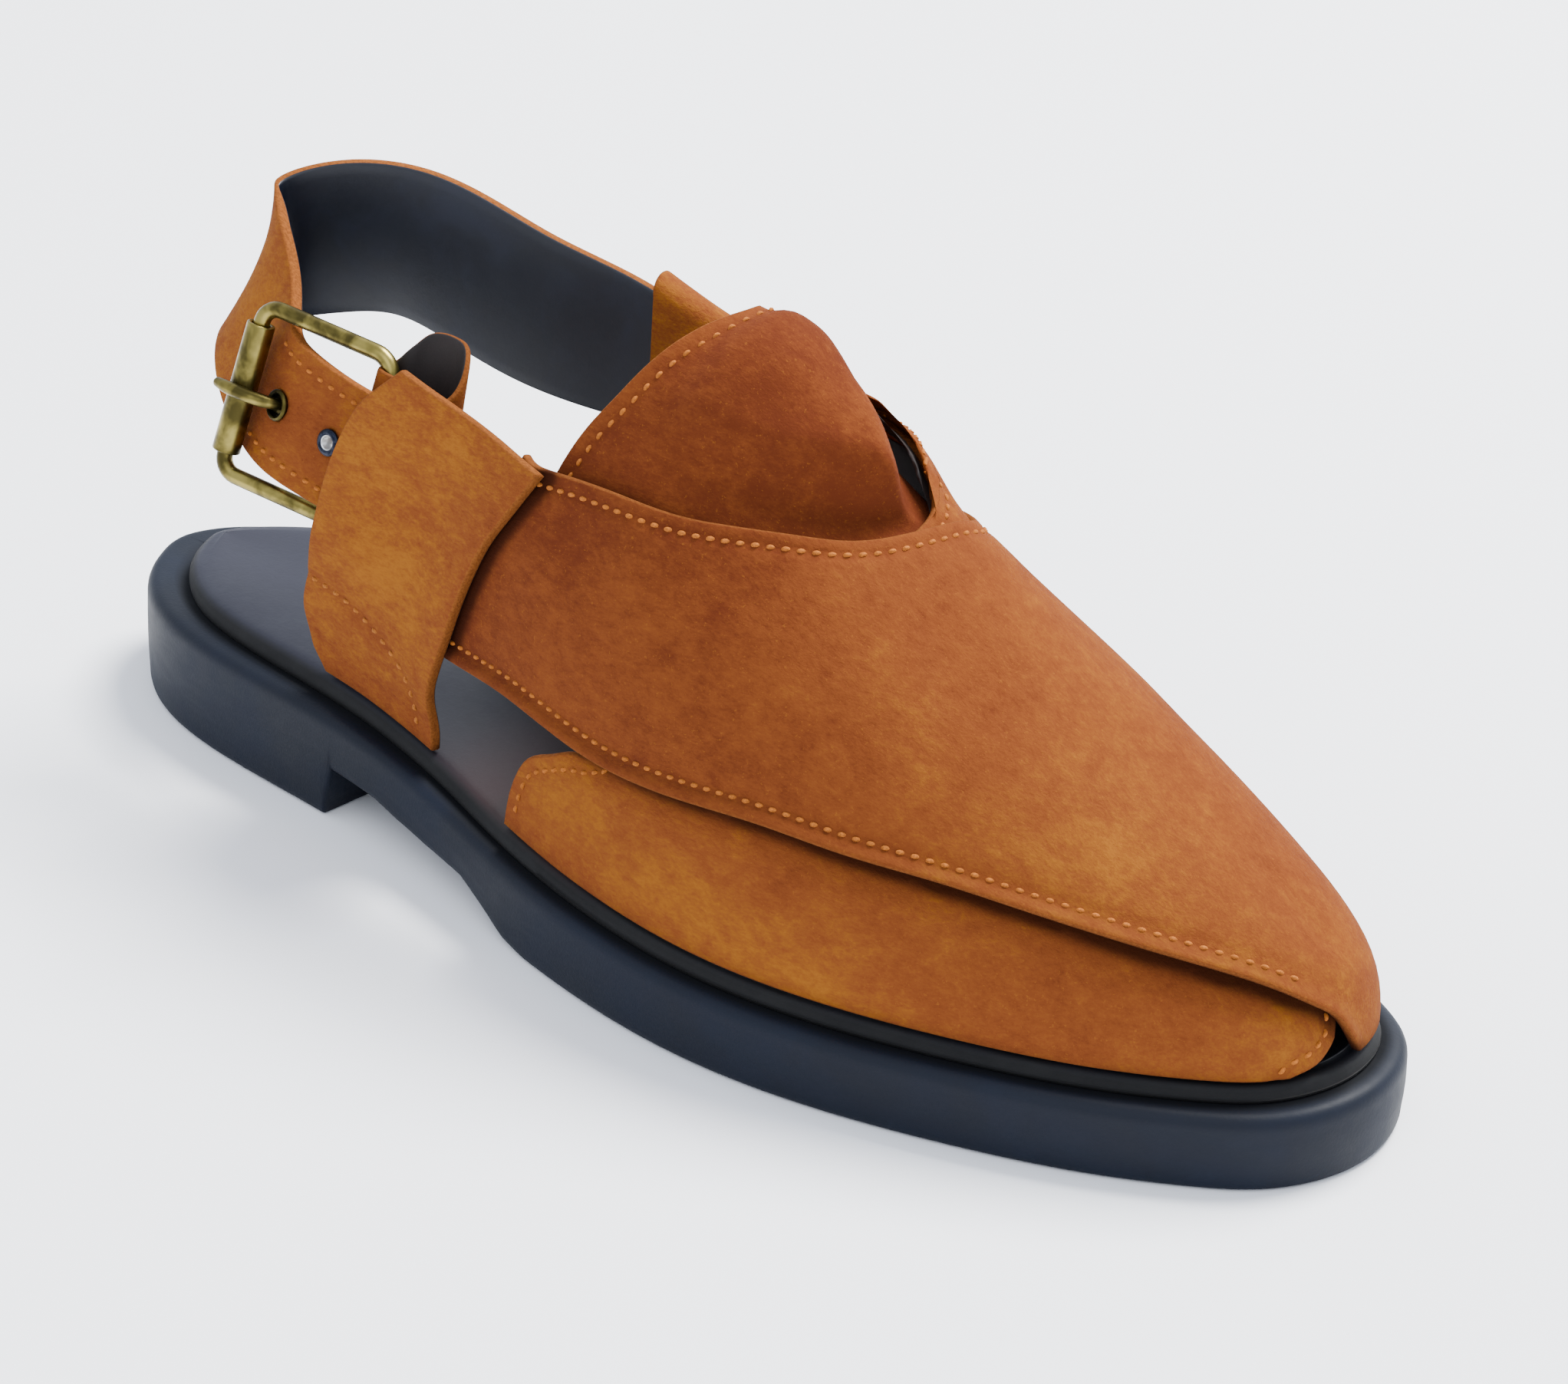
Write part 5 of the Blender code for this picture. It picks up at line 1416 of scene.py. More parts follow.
def lateral_band_grid():
    """Upright outer band on the last, standing off to clear the strap and buckle inside."""
    across = np.linspace(0, 1, BAND_COLUMNS)[None, :]
    up = np.linspace(0, 1, BAND_ROWS)[:, None]
    height = up * (OUTER_BAND_REAR[-1][0] * (1 - across) + OUTER_BAND_FRONT[-1][0] * across)
    rear = smooth(OUTER_BAND_REAR, up * OUTER_BAND_REAR[-1][0])
    front = smooth(OUTER_BAND_FRONT, up * OUTER_BAND_FRONT[-1][0])
    station = rear * (1 - across) + front * across
    ridge_rise = smooth(RIDGE, station, 2) - footbed_top(station)
    wrap = -np.sqrt(1 - (height / ridge_rise) ** 2)
    plan = unrolled(np.stack([station, wrap], -1))
    bulge = OUTER_BAND_BULGE * (1 - ease(across, 0, OUTER_BULGE_ACROSS))
    bulge = bulge * ease(height, *OUTER_BULGE_HEIGHTS)
    outer = OUTER_BAND_STANDOFF * ease(height, *OUTER_STANDOFF_HEIGHTS) + bulge
    return on_last(plan, outer), on_last(plan, outer - BAND_THICKNESS)


def inner_band_middle(across, height):
    """Middle of the inner band's outer leg at a share across and a height over the footbed."""
    rear, front = smooth(INNER_BAND_REAR, height), smooth(INNER_BAND_FRONT, height)
    station = rear * (1 - across) + front * across
    y = leather_edge_y(station, 1) + smooth(INNER_BAND_STANCE, height)
    return np.stack([station, y, footbed_top(station) + LEATHER_FOOT_GAP + height], -1)


def medial_band_grid():
    """Upright inner band, folded over the heel strap's end with a flap hanging on the inside."""
    radius = TUNNEL_WIDTH / 2
    across = np.linspace(0, 1, BAND_COLUMNS)[None, :]
    top = INNER_BAND_TOP[0] * (1 - across) + INNER_BAND_TOP[1] * across - radius
    leg = inner_band_middle(across, top * np.linspace(0, 1, BAND_ROWS)[:, None])
    shift = FLAP_REAR_SHIFT * (1 - across)
    angle = np.linspace(0, math.pi, FOLD_ROWS)[1:, None]
    turn = (shift * angle / math.pi, radius * (np.cos(angle) - 1), radius * np.sin(angle))
    fold = leg[-1] + np.stack(np.broadcast_arrays(*turn), -1)
    down = FLAP_DEPTH * np.linspace(0, 1, FLAP_ROWS)[1:, None]
    below = leg[-1] - inner_band_middle(across, top - down)
    flap = fold[-1] + np.stack(np.broadcast_arrays(0.0, -below[..., 1], -down), -1)
    middle = np.concatenate([leg, fold, flap])
    normal = unit(np.cross(np.gradient(middle, axis=1), np.gradient(middle, axis=0)))
    half = normal * BAND_THICKNESS / 2
    return middle - half, middle + half


def build_bands():
    """Outer and inner side bands, each sewn along its foot."""
    suede = suede_look("band_suede", lie=0.72, edge=1.3, grain=1.8)
    looks = [suede, lining_look("band_lining", "dark")]
    tonal = thread_look("band_thread", tonal=True)
    for band, (outer, inner), folds, nap, seam in (
        ("lateral_band", lateral_band_grid(), LATERAL_FOLDS, LATERAL_NAP, LATERAL_SEAM),
        ("medial_band", medial_band_grid(), MEDIAL_FOLDS, MEDIAL_NAP, MEDIAL_SEAM),
    ):
        places = even_curve(shares_to_places(outer, seam), np.linspace(0, 1, BAND_SEAM_SAMPLES))
        seams, thread = [(places, stitch_pitch())], (band + "_stitches", tonal)
        add_leather(band + "_suede", outer, inner, looks, folds, nap, seams, thread, replaced=band)


# Heel strap and buckle


def ribbon(controls, count, closed=False):
    """Samples of a flat strip: middle, direction across its width, outward normal, other columns.

    An open strip is squared to its own run. A closed one keeps the lean given in its table.
    """
    controls = np.asarray(controls, float)
    knots = np.arange(len(controls) + closed, dtype=float)
    at = np.linspace(0, knots[-1], count, endpoint=not closed)
    sampled = spline(controls, at, knots, closed)
    middle = sampled[:, :3]
    upright = np.concatenate([sampled[:, 3:5], np.ones((count, 1))], axis=1)
    along = run_direction(middle, closed)
    if not closed:
        upright = upright - along * (upright * along).sum(axis=1, keepdims=True)
    upright = unit(upright)
    return middle, upright, unit(np.cross(upright, along)), sampled[:, 5:]


def strip_grids(middle, upright, normal, width, thickness, columns):
    """Outer and inner grids of a strip with the given width and thickness at each sample."""
    across = np.linspace(-0.5, 0.5, columns)[:, None, None]
    flat = middle[None] + across * (upright * width[:, None])[None]
    half = (normal * thickness[:, None] / 2)[None]
    return flat + half, flat - half


def strap_place(at):
    """Middle, outward normal and thickness of the heel strap at a control number."""
    middle, _, normal, sizes = ribbon(HEEL_STRAP, (len(HEEL_STRAP) - 1) * STRAP_FINE + 1)
    number = round(at * STRAP_FINE)
    return middle[number], normal[number], sizes[number, 1]


def cut_with(piece, points, faces):
    """Cuts a piece with a closed shape given in millimetres."""
    mesh = raw_mesh("cutter", points, faces)
    close_up(mesh)
    cutter = placed("cutter", mesh)
    cut = piece.modifiers.new("cut", "BOOLEAN")
    cut.operation, cut.object = "DIFFERENCE", cutter
    evaluated = piece.evaluated_get(bpy.context.evaluated_depsgraph_get())
    made = bpy.data.meshes.new_from_object(evaluated)
    piece.modifiers.clear()
    piece.data = made
    bpy.data.objects.remove(cutter)


def build_heel_strap():
    """Strap round the heel: suede outside, smooth lining inside, holed for both eyelets."""
    middle, upright, normal, sizes = ribbon(HEEL_STRAP, STRAP_SAMPLES)
    outer, inner = strip_grids(middle, upright, normal, sizes[:, 0], sizes[:, 1], STRAP_COLUMNS)
    suede = suede_look("strap_suede", lie=0.72, edge=1.6, grain=1.5)
    looks = [suede, lining_look("strap_lining", "black")]
    along = np.linspace(STRAP_SEAM_START, STRAP_SEAM_END, STRAP_SEAM_SAMPLES)
    lines = [np.stack([0 * along + side, along], 1) for side in STRAP_SEAMS]
    seams = [(shares_to_places(outer, line), stitch_pitch()) for line in lines]
    thread = ("heel_strap_stitches", thread_look("strap_thread"))
    piece = add_leather(
        "heel_strap_leather",
        outer,
        inner,
        looks,
        STRAP_FOLDS,
        STRAP_NAP,
        seams,
        thread,
        replaced="heel_strap",
    )
    for at, radii in ((PRONG_HOLE_AT, PRONG_EYELET), (FREE_EYELET_AT, FREE_EYELET)):
        centre, axis, _ = strap_place(at)
        radius = radii[1] + HOLE_CLEAR
        ends = (-PIN_REACH, PIN_REACH)
        pin = [(NEAR_AXIS, ends[0]), (radius, ends[0]), (radius, ends[1]), (NEAR_AXIS, ends[1])]
        cut_with(piece, *turned(centre, axis, pin, HOLE_SIDES))


def buckle_frame_axes():
    """The buckle's own directions: towards the fixed bar, outwards from the foot, up the bar."""
    forward = unit(BUCKLE_FORWARD)
    up = unit(np.asarray(BUCKLE_UP) - forward * np.dot(BUCKLE_UP, forward))
    return forward, np.cross(forward, up), up


def in_buckle(forward, outwards, up):
    """Points given along the buckle's own directions from the roller's middle."""
    axes = np.stack(buckle_frame_axes())
    places = np.stack(np.broadcast_arrays(forward, outwards, up), -1)
    return np.asarray(ROLLER_MIDDLE) + places @ axes


def build_buckle():
    """Brass roller buckle: bent wire frame, roller, prong and the strap's two eyelets."""
    brass = brass_look("aged_brass")
    _, outwards, up = buckle_frame_axes()
    half = BUCKLE_WIDTH / 2
    path = []
    for forward, height, radius, start in (
        (0, -half, ROLLER_CORNER, 180),
        (BUCKLE_LENGTH, -half, BAR_CORNER, 270),
        (BUCKLE_LENGTH, half, BAR_CORNER, 0),
        (0, half, ROLLER_CORNER, 90),
    ):
        angle = np.radians(start + np.linspace(0, 90, BEND_SAMPLES))
        inwards = radius if forward == 0 else -radius
        centre = (forward + inwards, height - math.copysign(radius, height))
        path.append(centre + radius * np.stack([np.cos(angle), np.sin(angle)], 1))
    path = np.concatenate(path)
    loop = along_line(np.vstack([path, path[:1]]), np.arange(FRAME_SAMPLES) / FRAME_SAMPLES)
    centres = in_buckle(loop[:, 0], 0.0, loop[:, 1])
    points, faces = tube(centres, WIRE_RADIUS, outwards, WIRE_SIDES, closed=True)
    add_piece("buckle_wire", points, faces, [brass], replaced=["buckle_frame"])

    half, bore = ROLLER_LENGTH / 2, WIRE_RADIUS + ROLLER_PLAY
    profile = [(bore, -half), (ROLLER_RADIUS, -half), (ROLLER_RADIUS, half), (bore, half)]
    profile = rounded_profile(profile, ROLLER_ROUNDING)
    points, faces = turned(ROLLER_MIDDLE, up, profile, TURNED_SIDES)
    add_piece(
        "buckle_barrel",
        points,
        faces,
        [brass],
        replaced=["buckle_roller"],
        crease_angle=ROLLER_CREASE,
    )

    radius = WIRE_RADIUS + RING_PLAY + PRONG_RING_WIRE
    angles = np.radians(np.linspace(PRONG_RING_START, PRONG_RING_END, RING_SAMPLES))
    wire = PRONG_RING_WIRE + 0 * angles
    ring = np.stack([BUCKLE_LENGTH + radius * np.cos(angles), radius * np.sin(angles), wire], 1)
    run = np.vstack([ring, even_curve(PRONG_SHANK, np.linspace(0, 1, SHANK_SAMPLES))])
    points, faces = tube(in_buckle(run[:, 0], run[:, 1], 0.0), run[:, 2], up, PRONG_SIDES)
    add_piece("buckle_tongue", points, faces, [brass], replaced=["buckle_prong"])

    for name, at, (bore, barrel, flange) in (
        ("eyelet_prong", PRONG_HOLE_AT, PRONG_EYELET),
        ("eyelet_free", FREE_EYELET_AT, FREE_EYELET),
    ):
        centre, axis, thickness = strap_place(at)
        face = thickness / 2 + EYELET_STANDOFF
        radii = {"bore": bore, "barrel": barrel, "flange": flange, "crest": (bore + flange) / 2}
        profile = [
            (radii[part] + wider, side * face + higher)
            for part, wider, side, higher in EYELET_PROFILE
        ]
        profile = rounded_profile(profile, EYELET_ROUNDING, 3)
        points, faces = turned(centre, axis, profile, TURNED_SIDES)
        # The prong's eyelet takes darker brass as painted shade below the prong
        in_shade = name == "eyelet_prong"
        look = brass_look("dull_brass", rubbed=PRONG_EYELET_SHADE) if in_shade else steel_look("dark_steel")
        marks = {"bore": np.tile(profile[:, 0] < bore + BORE_MARK, TURNED_SIDES)}
        add_piece(
            name + "_ring",
            points,
            faces,
            [look],
            marks,
            replaced=[name],
            crease_angle=EYELET_CREASE,
        )


def build_anchor():
    """Suede strip closed round the fixed bar, slotted for the prong, its slack loop in front."""
    middle, upright, normal, sizes = ribbon(ANCHOR_PATH, ANCHOR_SAMPLES, closed=True)
    thickness = np.full(ANCHOR_SAMPLES, ANCHOR_THICKNESS)
    outer, inner = strip_grids(middle, upright, normal, sizes[:, 0], thickness, ANCHOR_COLUMNS)
    looks = [suede_look("anchor_suede", lie=0.6), lining_look("anchor_lining", "dark")]
    piece = add_leather(
        "buckle_anchor_suede", outer, inner, looks, closed=True, replaced="buckle_anchor"
    )
    length, depth, height = ANCHOR_SLOT
    corner = np.array([-0.5, 0.5])
    forward, outwards, up = np.meshgrid(
        BUCKLE_LENGTH + corner * length, corner * depth, corner * height
    )
    points = in_buckle(forward.ravel(), outwards.ravel(), up.ravel())
    faces = [(0, 1, 3, 2), (4, 5, 7, 6), (0, 1, 5, 4), (2, 3, 7, 6), (0, 2, 6, 4), (1, 3, 7, 5)]
    cut_with(piece, points, faces)


# Materials


class Signal:
    """A number that varies over a surface. Arithmetic on signals and numbers adds Math nodes."""

    def __init__(self, look, socket):
        self.look, self.socket = look, socket

    def maths(self, operation, *values):
        made = self.look.node("ShaderNodeMath", {"operation": operation}, dict(enumerate(values)))
        return Signal(self.look, made.outputs[0])

    def __add__(self, other):
        return self.maths("ADD", self, other)

    def __mul__(self, other):
        return self.maths("MULTIPLY", self, other)

    def __sub__(self, other):
        return self.maths("SUBTRACT", self, other)

    def __rsub__(self, other):
        return self.maths("SUBTRACT", other, self)

    __radd__, __rmul__ = __add__, __mul__

    def ramped(self, low, high, start=0.0, end=1.0):
        """Start below low, end above high, and a smooth step between."""
        sockets = {0: self, 1: low, 2: high, 3: start, 4: end}
        made = self.look.node("ShaderNodeMapRange", {"interpolation_type": "SMOOTHSTEP"}, sockets)
        return Signal(self.look, made.outputs[0])


class Look:
    """A procedural material. What is the same all over is set on its shader's own sockets."""

    def __init__(self, name, **constants):
        self.material = bpy.data.materials.new(name)
        self.material.use_nodes = True
        self.tree = self.material.node_tree
        self.shader = self.tree.nodes["Principled BSDF"]
        for socket, value in constants.items():
            self.shader.inputs[socket.replace("_", " ")].default_value = value
        self.place = self.node("ShaderNodeTexCoord").outputs["Object"]

    def node(self, kind, settings=None, sockets=None):
        """One node: its settings first, then each socket's value or link."""
        made = self.tree.nodes.new(kind)
        for setting, value in (settings or {}).items():
            setattr(made, setting, value)
        for socket, value in (sockets or {}).items():
            source = value.socket if isinstance(value, Signal) else value
            if isinstance(source, bpy.types.NodeSocket):
                self.tree.links.new(source, made.inputs[socket])
            else:
                made.inputs[socket].default_value = source
        return made

    def noise(self, name):
        """A noise of the table, around 0.5. A turn and a stretch draw its features out one way."""
        size, detail, rough, bend, turn, stretch = NOISES[name]
        place = self.place
        if stretch:
            sockets = {"Vector": place, "Rotation": turn, "Scale": stretch}
            place = self.node("ShaderNodeMapping", None, sockets).outputs[0]
        sockets = {"Vector": place, "Scale": 1 / (size * METRES), "Detail": detail}
        sockets |= {"Roughness": rough, "Distortion": bend}
        return Signal(self, self.node("ShaderNodeTexNoise", None, sockets).outputs[0])

    def mark(self, name):
        """A mark stored on the piece's own points."""
        made = self.node("ShaderNodeAttribute", {"attribute_name": name})
        return Signal(self, made.outputs["Fac"])

    def along(self, axis):
        """Object coordinate along an axis, in millimetres."""
        made = self.node("ShaderNodeSeparateXYZ", None, {0: self.place})
        return Signal(self, made.outputs[axis]) * (1 / METRES)

    def tint(self, name, amount=1.0):
        """One of the chappal's colours, darkened or lightened, with full alpha."""
        colour = getattr(bpy.context.scene.chappal_colours, name)
        return (*(min(part * amount, 1.0) for part in colour), 1.0)

    def mixed(self, factor, first, second):
        """Colour between two colours."""
        made = self.node("ShaderNodeMix", {"data_type": "RGBA"}, {0: factor, 6: first, 7: second})
        return made.outputs[2]

    def finish(self, colour, roughness, height, depth, strength):
        """Links the varying colour, roughness and bump (depth in millimetres) to the shader."""
        self.tree.links.new(colour, self.shader.inputs["Base Color"])
        self.tree.links.new(roughness.socket, self.shader.inputs["Roughness"])
        sockets = {"Height": height, "Distance": depth * METRES, "Strength": strength}
        bump = self.node("ShaderNodeBump", None, sockets)
        self.tree.links.new(bump.outputs[0], self.shader.inputs["Normal"])
        return self.material


def suede_look(name, lie, edge=1.0, grain=1.0):
    """Suede: rust where the nap lies down, tan where it stands, with strokes and pale flecks.

    The lie of the nap runs from 0 (rust) through 0.5 to 1 (palest tan). The piece's own strokes
    are added to it, then soft clouds and fibres. Cut edges take the edge's colour, and painted
    shade darkens the foot and the places under the edges of other pieces.
    """
    look = Look(name, Specular_IOR_Level=0.05)
    cloud = look.noise("suede_cloud")
    mottle = look.noise("suede_mottle")
    stroke = look.noise("suede_stroke")
    fibre = look.noise("suede_fibre")
    clouds = 0.65 * (cloud - 0.5) + 0.6 * (mottle - 0.5)
    tone = look.mark("brushed") + lie + clouds
    tone = tone + 0.45 * grain * (stroke - 0.5) + 0.35 * grain * (fibre - 0.5)
    deep = look.mixed(tone.ramped(-0.1, 0.6), look.tint("suede_deep"), look.tint("suede"))
    nap = look.mixed(tone.ramped(0.45, 1.15), deep, look.tint("suede_bloom"))
    fleck = look.noise("suede_fleck").ramped(0.62, 0.72, 0.0, 0.28)
    flecked = look.mixed(fleck, nap, look.tint("suede_bloom", 1.25))
    # Painted shade at the foot and under other pieces' edges, darkening the suede towards a deep
    # brown
    soil = look.mark("soil") * (0.5 + 0.5 * cloud)
    raw_shades = look.tint("cut_edge", 0.7 * edge), look.tint("cut_edge", 1.1 * edge)
    raw = look.mixed(fibre.ramped(0.35, 0.65), *raw_shades)
    edged = look.mixed(look.mark("cut_edge").ramped(0.35, 0.95, 0.0, 0.85), flecked, raw)
    colour = look.mixed(soil.ramped(0.12, 0.65, 0.0, 0.92), edged, look.tint("suede_deep", 0.25))
    roughness = 0.86 + 0.12 * cloud
    bumps = 0.5 * fibre + 0.6 * stroke + 0.5 * mottle
    return look.finish(colour, roughness, bumps, 0.2 * grain, 0.7)


def lining_look(name, kind):
    """Smooth lining: fine pores, faint creases and rubbed patches, dark brown or glossier black."""
    black = kind == "black"
    colour = "lining_" + kind
    gloss, sheen = (0.45, 0.12) if black else (0.62, 0.05)
    look = Look(name, Specular_IOR_Level=0.3, Coat_Weight=sheen, Coat_Roughness=0.45)
    rubbed = look.noise("lining_rubbed")
    pores = look.noise("lining_pores")
    creases = look.noise("lining_creases")
    base = look.mixed(rubbed.ramped(0.4, 0.7), look.tint(colour, 0.75), look.tint(colour, 1.35))
    edge = look.mark("cut_edge")
    colour = look.mixed(edge.ramped(0.4, 0.9, 0.0, 0.7), base, look.tint(colour, 0.6))
    roughness = gloss + 0.2 * (rubbed - 0.5) + 0.1 * (creases - 0.5)
    return look.finish(colour, roughness, 0.6 * pores + 0.5 * creases, 0.06, 0.6)


def footbed_look(name):
    """Footbed cover: dark satin leather, cooler and paler at the heel, worn under the foot, with
    painted shade ahead and down its side.
    """
    look = Look(name, Specular_IOR_Level=0.28, Coat_Weight=0.04, Coat_Roughness=0.5)
    wear = look.noise("footbed_wear")
    grain = look.noise("footbed_grain")
    pebble = look.noise("footbed_pebble")
    # Partly painted shade: ahead of the heel, where the upper covers it, the cover turns near black
    ahead = look.along(0).ramped(-75, -5)
    base = look.mixed(ahead, look.tint("footbed_heel"), look.tint("footbed_front_shaded"))
    warm = look.along(0).ramped(-50, -20) * look.along(0).ramped(-5, 25, 1.0, 0.0)
    tinted = look.mixed(warm * wear.ramped(0.3, 0.7, 0.2, 0.8), base, look.tint("footbed_rub"))
    worn = look.mixed(wear.ramped(0.35, 0.7, 0.0, 0.3), tinted, look.tint("footbed_heel", 1.2))
    # Painted shade: the footbed's side darkens to near black
    side = look.mark("side")
    colour = look.mixed(side, worn, look.tint("footbed_front_shaded", 0.25))
    roughness = 0.5 + 0.22 * (wear - 0.5) + 0.1 * (pebble - 0.5) + 0.35 * side
    return look.finish(colour, roughness, 0.5 * grain + 0.6 * pebble, 0.1, 0.55)


def rubber_look(name):
    """Sole rubber: matt slate, scuffed along its shoulder, dusty low down, ribbed underneath,
    painted shade by the footbed.
    """
    look = Look(name, Specular_IOR_Level=0.16)
    cloud = look.noise("rubber_cloud")
    grit = look.noise("rubber_grit")
    scuff = look.noise("rubber_scuff")
    height = look.along(2)
    base = look.mixed(cloud.ramped(0.35, 0.7), look.tint("rubber", 0.8), look.tint("rubber", 1.2))
    dusty = scuff.ramped(0.5, 0.75) * height.ramped(0.5, 7, 0.5, 0.12)
    sided = look.mixed(dusty, base, look.tint("rubber_scuff"))
    # Painted shade: near black on the top beside the footbed
    shelf = look.mark("shelf")
    colour = look.mixed(shelf, sided, look.tint("rubber", 0.2))
    geometry = look.node("ShaderNodeNewGeometry")
    normal_parts = look.node("ShaderNodeSeparateXYZ", None, {0: geometry.outputs["True Normal"]})
    facing = Signal(look, normal_parts.outputs[2])
    below = facing.ramped(-0.9, -0.6, 1.0, 0.0)
    ribs = look.node(
        "ShaderNodeTexWave",
        {"wave_type": "BANDS", "bands_direction": "X", "wave_profile": "SIN"},
        {"Vector": look.place, "Scale": TREAD_SCALE, "Distortion": 0.0},
    )
    tread = Signal(look, ribs.outputs["Fac"]).ramped(0.35, 0.65) * below
    roughness = 0.5 + 0.25 * (cloud - 0.5) + 0.15 * scuff + 0.3 * shelf
    return look.finish(colour, roughness, 0.25 * grit + 0.12 * scuff + 2.2 * tread, 0.3, 0.5)


def brass_look(name, rubbed=1.0):
    """Aged brass: olive patina in soft patches, smooth rubbed metal and fine scratches."""
    look = Look(name, Metallic=1.0)
    patina = look.noise("brass_patina")
    scratches = look.noise("brass_scratches")
    worn = patina.ramped(0.34, 0.66)
    # The rubbed share scales both colours; below 1 it paints shade on the metal
    colour = look.mixed(worn, look.tint("brass_patina", rubbed), look.tint("brass", rubbed))
    roughness = 0.34 - 0.08 * worn + 0.08 * scratches
    return look.finish(colour, roughness, 0.4 * scratches + 0.3 * patina, 0.03, 0.35)


def steel_look(name):
    """Blued steel of the free eyelet, its bore near-white steel as a painted highlight."""
    look = Look(name, Metallic=1.0)
    patina = look.noise("steel_patina")
    blued = look.mixed(patina.ramped(0.4, 0.65), BLUED_STEEL_DARK, BLUED_STEEL_LIGHT)
    # Painted highlight: the bore is near-white steel to give the hole its bright glint
    colour = look.mixed(look.mark("bore"), blued, BORE_HIGHLIGHT_STEEL)
    return look.finish(colour, 0.3 + 0.2 * patina, patina, 0.04, 0.4)


def thread_look(name, tonal=False):
    """Waxed thread with a fine twist."""
    look = Look(name, Specular_IOR_Level=0.08)
    twist = look.noise("thread_twist")
    patch = look.noise("thread_patch")
    thread = "tonal_thread" if tonal else "thread"
    colour = look.mixed(twist.ramped(0.35, 0.65), look.tint(thread, 0.72), look.tint(thread, 1.08))
    dulled = look.mixed(patch.ramped(0.45, 0.75, 0.0, 0.4), colour, look.tint(thread, 0.55))
    return look.finish(dulled, 0.7 + 0.2 * patch, twist, 0.08, 0.6)


def floor_look(name):
    """Pale, faintly uneven studio paper."""
    look = Look(name, Specular_IOR_Level=0.1)
    uneven = look.noise("floor_uneven")
    grain = look.noise("floor_grain")
    colour = look.mixed(uneven.ramped(0.3, 0.7), look.tint("floor", 0.985), look.tint("floor"))
    return look.finish(colour, 0.85 + 0.1 * uneven, grain, 0.02, 0.1)


# Stage


def build_stage():
    """Pale floor, one broad soft light above, a fill, pale surroundings and the camera."""
    half = FLOOR_SIZE / 2
    corners = [(x * half, y * half, FLOOR_DROP) for x, y in ((-1, -1), (1, -1), (1, 1), (-1, 1))]
    mesh = bpy.data.meshes.new("floor")
    mesh.from_pydata(corners, [], [(0, 1, 2, 3)])
    mesh.materials.append(floor_look("studio_paper"))
    floor = placed("floor", mesh)
    for name, place, aim, power, size, tint in LIGHTS:
        lamp = bpy.data.lights.new(name, "AREA")
        lamp.shape, lamp.size, lamp.energy, lamp.color = "DISK", size, power, tint
        made = placed(name, lamp)
        made.location = place
        made.rotation_euler = (Vector(place) - Vector(aim)).to_track_quat("Z", "Y").to_euler()
    world = bpy.data.worlds.new("studio")
    world.use_nodes = True
    background = world.node_tree.nodes["Background"]
    tint = bpy.context.scene.chappal_colours.surroundings
    background.inputs["Color"].default_value = (*tint, 1.0)
    background.inputs["Strength"].default_value = SURROUNDINGS_STRENGTH
    bpy.context.scene.world = world
    camera = placed("camera", bpy.data.cameras.new("camera"))
    camera.data.lens, camera.data.sensor_width = CAMERA_LENS, CAMERA_SENSOR
    camera.location = (np.array(CAMERA_PLACE) - ORIGIN) * METRES
    yaw, pitch, roll = (math.radians(angle) for angle in CAMERA_TURN)
    look_along = Euler((math.pi / 2 - pitch, 0.0, yaw - math.pi / 2), "XYZ").to_matrix()
    camera.rotation_euler = (look_along @ Matrix.Rotation(roll, 3, "Z")).to_euler()
    bpy.context.scene.camera = camera


# Add-on


def colour_property(name, description, default):
    """A colour that a user can change; the default is given as shown on a screen, 0 to 255."""
    return bpy.props.FloatVectorProperty(
        name=name,
        description=description,
        subtype="COLOR",
        size=3,
        min=0,
        max=1,
        default=from_screen(*default),
    )


def size_property(name, description, default):
    """A length that a user can change, in metres."""
    return bpy.props.FloatProperty(
        name=name, description=description, default=default, unit="LENGTH"
    )


class ChappalSizes(bpy.types.PropertyGroup):
    """Sizes of the seams and edges."""

    stitch_pitch: size_property("Stitch pitch", "Distance from one stitch to the next", 0.0031)
    stitch_length: size_property("Stitch length", "Length of one stitch", 0.0017)
    thread_width: size_property("Thread width", "Width of the sewing thread", 0.0009)
    edge_lift: size_property("Edge lift", "Stand-off of the top panel's front edge", 0.0012)


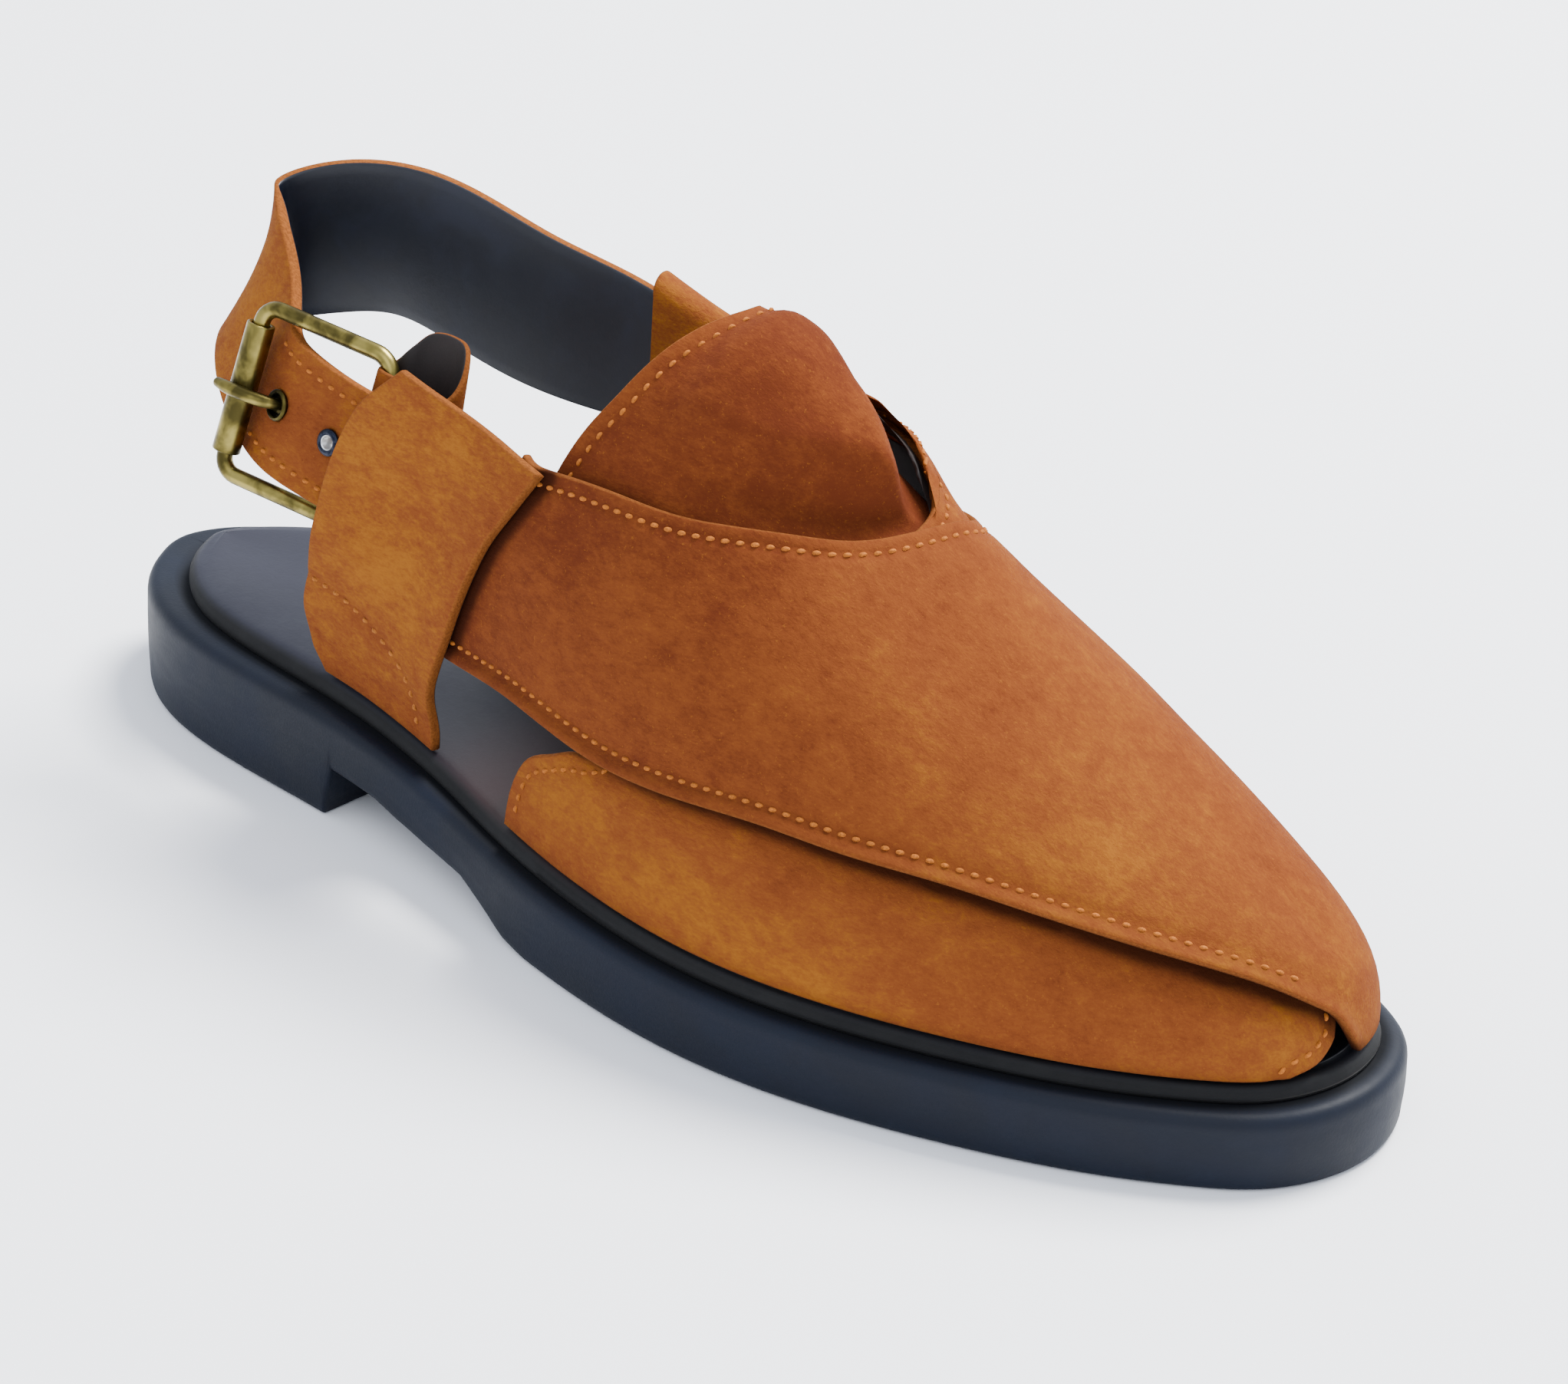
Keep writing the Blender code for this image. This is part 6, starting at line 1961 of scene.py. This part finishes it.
class ChappalColours(bpy.types.PropertyGroup):
    """Colours of the leathers, sole, metal and stage."""

    suede: colour_property("Suede", "Tan of the suede's lit nap", (107, 55, 24))
    suede_deep: colour_property("Deep suede", "Suede brushed the other way", (82, 36, 17))
    suede_bloom: colour_property("Suede bloom", "Palest rubbed nap", (132, 80, 25))
    cut_edge: colour_property("Cut edge", "Raw edge of the suede", (98, 55, 23))
    lining_dark: colour_property("Panel lining", "Brown inside of panels and bands", (24, 14, 11))
    lining_black: colour_property("Strap lining", "Black inside of the heel strap", (9, 14, 27))
    footbed_heel: colour_property("Footbed at the heel", "Slate under the heel", (13, 13, 28))
    # Near black ahead, partly the footbed's own dark colour and partly painted shade under the
    # upper and down its side
    footbed_front_shaded: colour_property("Footbed ahead", "Near black under the foot", (8, 8, 11))
    footbed_rub: colour_property("Footbed rub", "Suede's dye, rubbed off", (44, 18, 11))
    rubber: colour_property("Rubber", "Dark slate of the sole", (9, 15, 27))
    rubber_scuff: colour_property("Rubber scuff", "Dust on the sole's side", (19, 25, 37))
    brass: colour_property("Brass", "Rubbed brass", (140, 126, 66))
    brass_patina: colour_property("Brass patina", "Brown in the brass's hollows", (64, 57, 28))
    thread: colour_property("Thread", "Pale tan thread", (160, 92, 36))
    tonal_thread: colour_property("Tonal thread", "Thread in the suede's own tan", (150, 90, 38))
    floor: colour_property("Floor", "Studio paper", (243, 244, 247))
    surroundings: colour_property("Surroundings", "Light from all round", (232, 239, 252))


class CHAPPAL_OT_stage(bpy.types.Operator):
    """Floor, lights, surroundings and camera"""

    bl_idname = "chappal.stage"
    bl_label = "Stage"

    def execute(self, context):
        build_stage()
        return {"FINISHED"}


class CHAPPAL_OT_sole(bpy.types.Operator):
    """Rubber sole and footbed"""

    bl_idname = "chappal.sole"
    bl_label = "Sole and footbed"

    def execute(self, context):
        build_outsole()
        build_footbed()
        return {"FINISHED"}


class CHAPPAL_OT_panels(bpy.types.Operator):
    """Crossed panels over the foot, with their seams"""

    bl_idname = "chappal.panels"
    bl_label = "Crossed panels"

    def execute(self, context):
        build_panels()
        return {"FINISHED"}


class CHAPPAL_OT_tongue(bpy.types.Operator):
    """Leaf under the crossing, with its seam"""

    bl_idname = "chappal.tongue"
    bl_label = "Tongue"

    def execute(self, context):
        build_tongue()
        return {"FINISHED"}


class CHAPPAL_OT_bands(bpy.types.Operator):
    """Outer and inner side bands"""

    bl_idname = "chappal.bands"
    bl_label = "Side bands"

    def execute(self, context):
        build_bands()
        return {"FINISHED"}


class CHAPPAL_OT_heel_strap(bpy.types.Operator):
    """Heel strap with its lining, seams and holes"""

    bl_idname = "chappal.heel_strap"
    bl_label = "Heel strap"

    def execute(self, context):
        build_heel_strap()
        return {"FINISHED"}


class CHAPPAL_OT_buckle(bpy.types.Operator):
    """Roller buckle, prong and eyelets, and the strip that holds them"""

    bl_idname = "chappal.buckle"
    bl_label = "Buckle and anchor"

    def execute(self, context):
        build_buckle()
        build_anchor()
        return {"FINISHED"}


OPERATORS = (
    CHAPPAL_OT_stage,
    CHAPPAL_OT_sole,
    CHAPPAL_OT_panels,
    CHAPPAL_OT_tongue,
    CHAPPAL_OT_bands,
    CHAPPAL_OT_heel_strap,
    CHAPPAL_OT_buckle,
)


class CHAPPAL_PT_pieces(bpy.types.Panel):
    """Lists the chappal's pieces, sizes and colours"""

    bl_label = "Peshawari chappal"
    bl_idname = "CHAPPAL_PT_pieces"
    bl_space_type = "VIEW_3D"
    bl_region_type = "UI"
    bl_category = "Chappal"

    def draw(self, context):
        for operator in OPERATORS:
            self.layout.operator(operator.bl_idname)
        for group in (context.scene.chappal_sizes, context.scene.chappal_colours):
            for name in group.bl_rna.properties.keys()[2:]:
                self.layout.prop(group, name)


CLASSES = (ChappalSizes, ChappalColours, *OPERATORS, CHAPPAL_PT_pieces)


def register():
    for each in CLASSES:
        bpy.utils.register_class(each)
    bpy.types.Scene.chappal_sizes = bpy.props.PointerProperty(type=ChappalSizes)
    bpy.types.Scene.chappal_colours = bpy.props.PointerProperty(type=ChappalColours)


def unregister():
    del bpy.types.Scene.chappal_sizes, bpy.types.Scene.chappal_colours
    for each in reversed(CLASSES):
        bpy.utils.unregister_class(each)


def main():
    register()
    for operator in OPERATORS:
        group, name = operator.bl_idname.split(".")
        getattr(getattr(bpy.ops, group), name)()


if __name__ == "__main__":
    main()
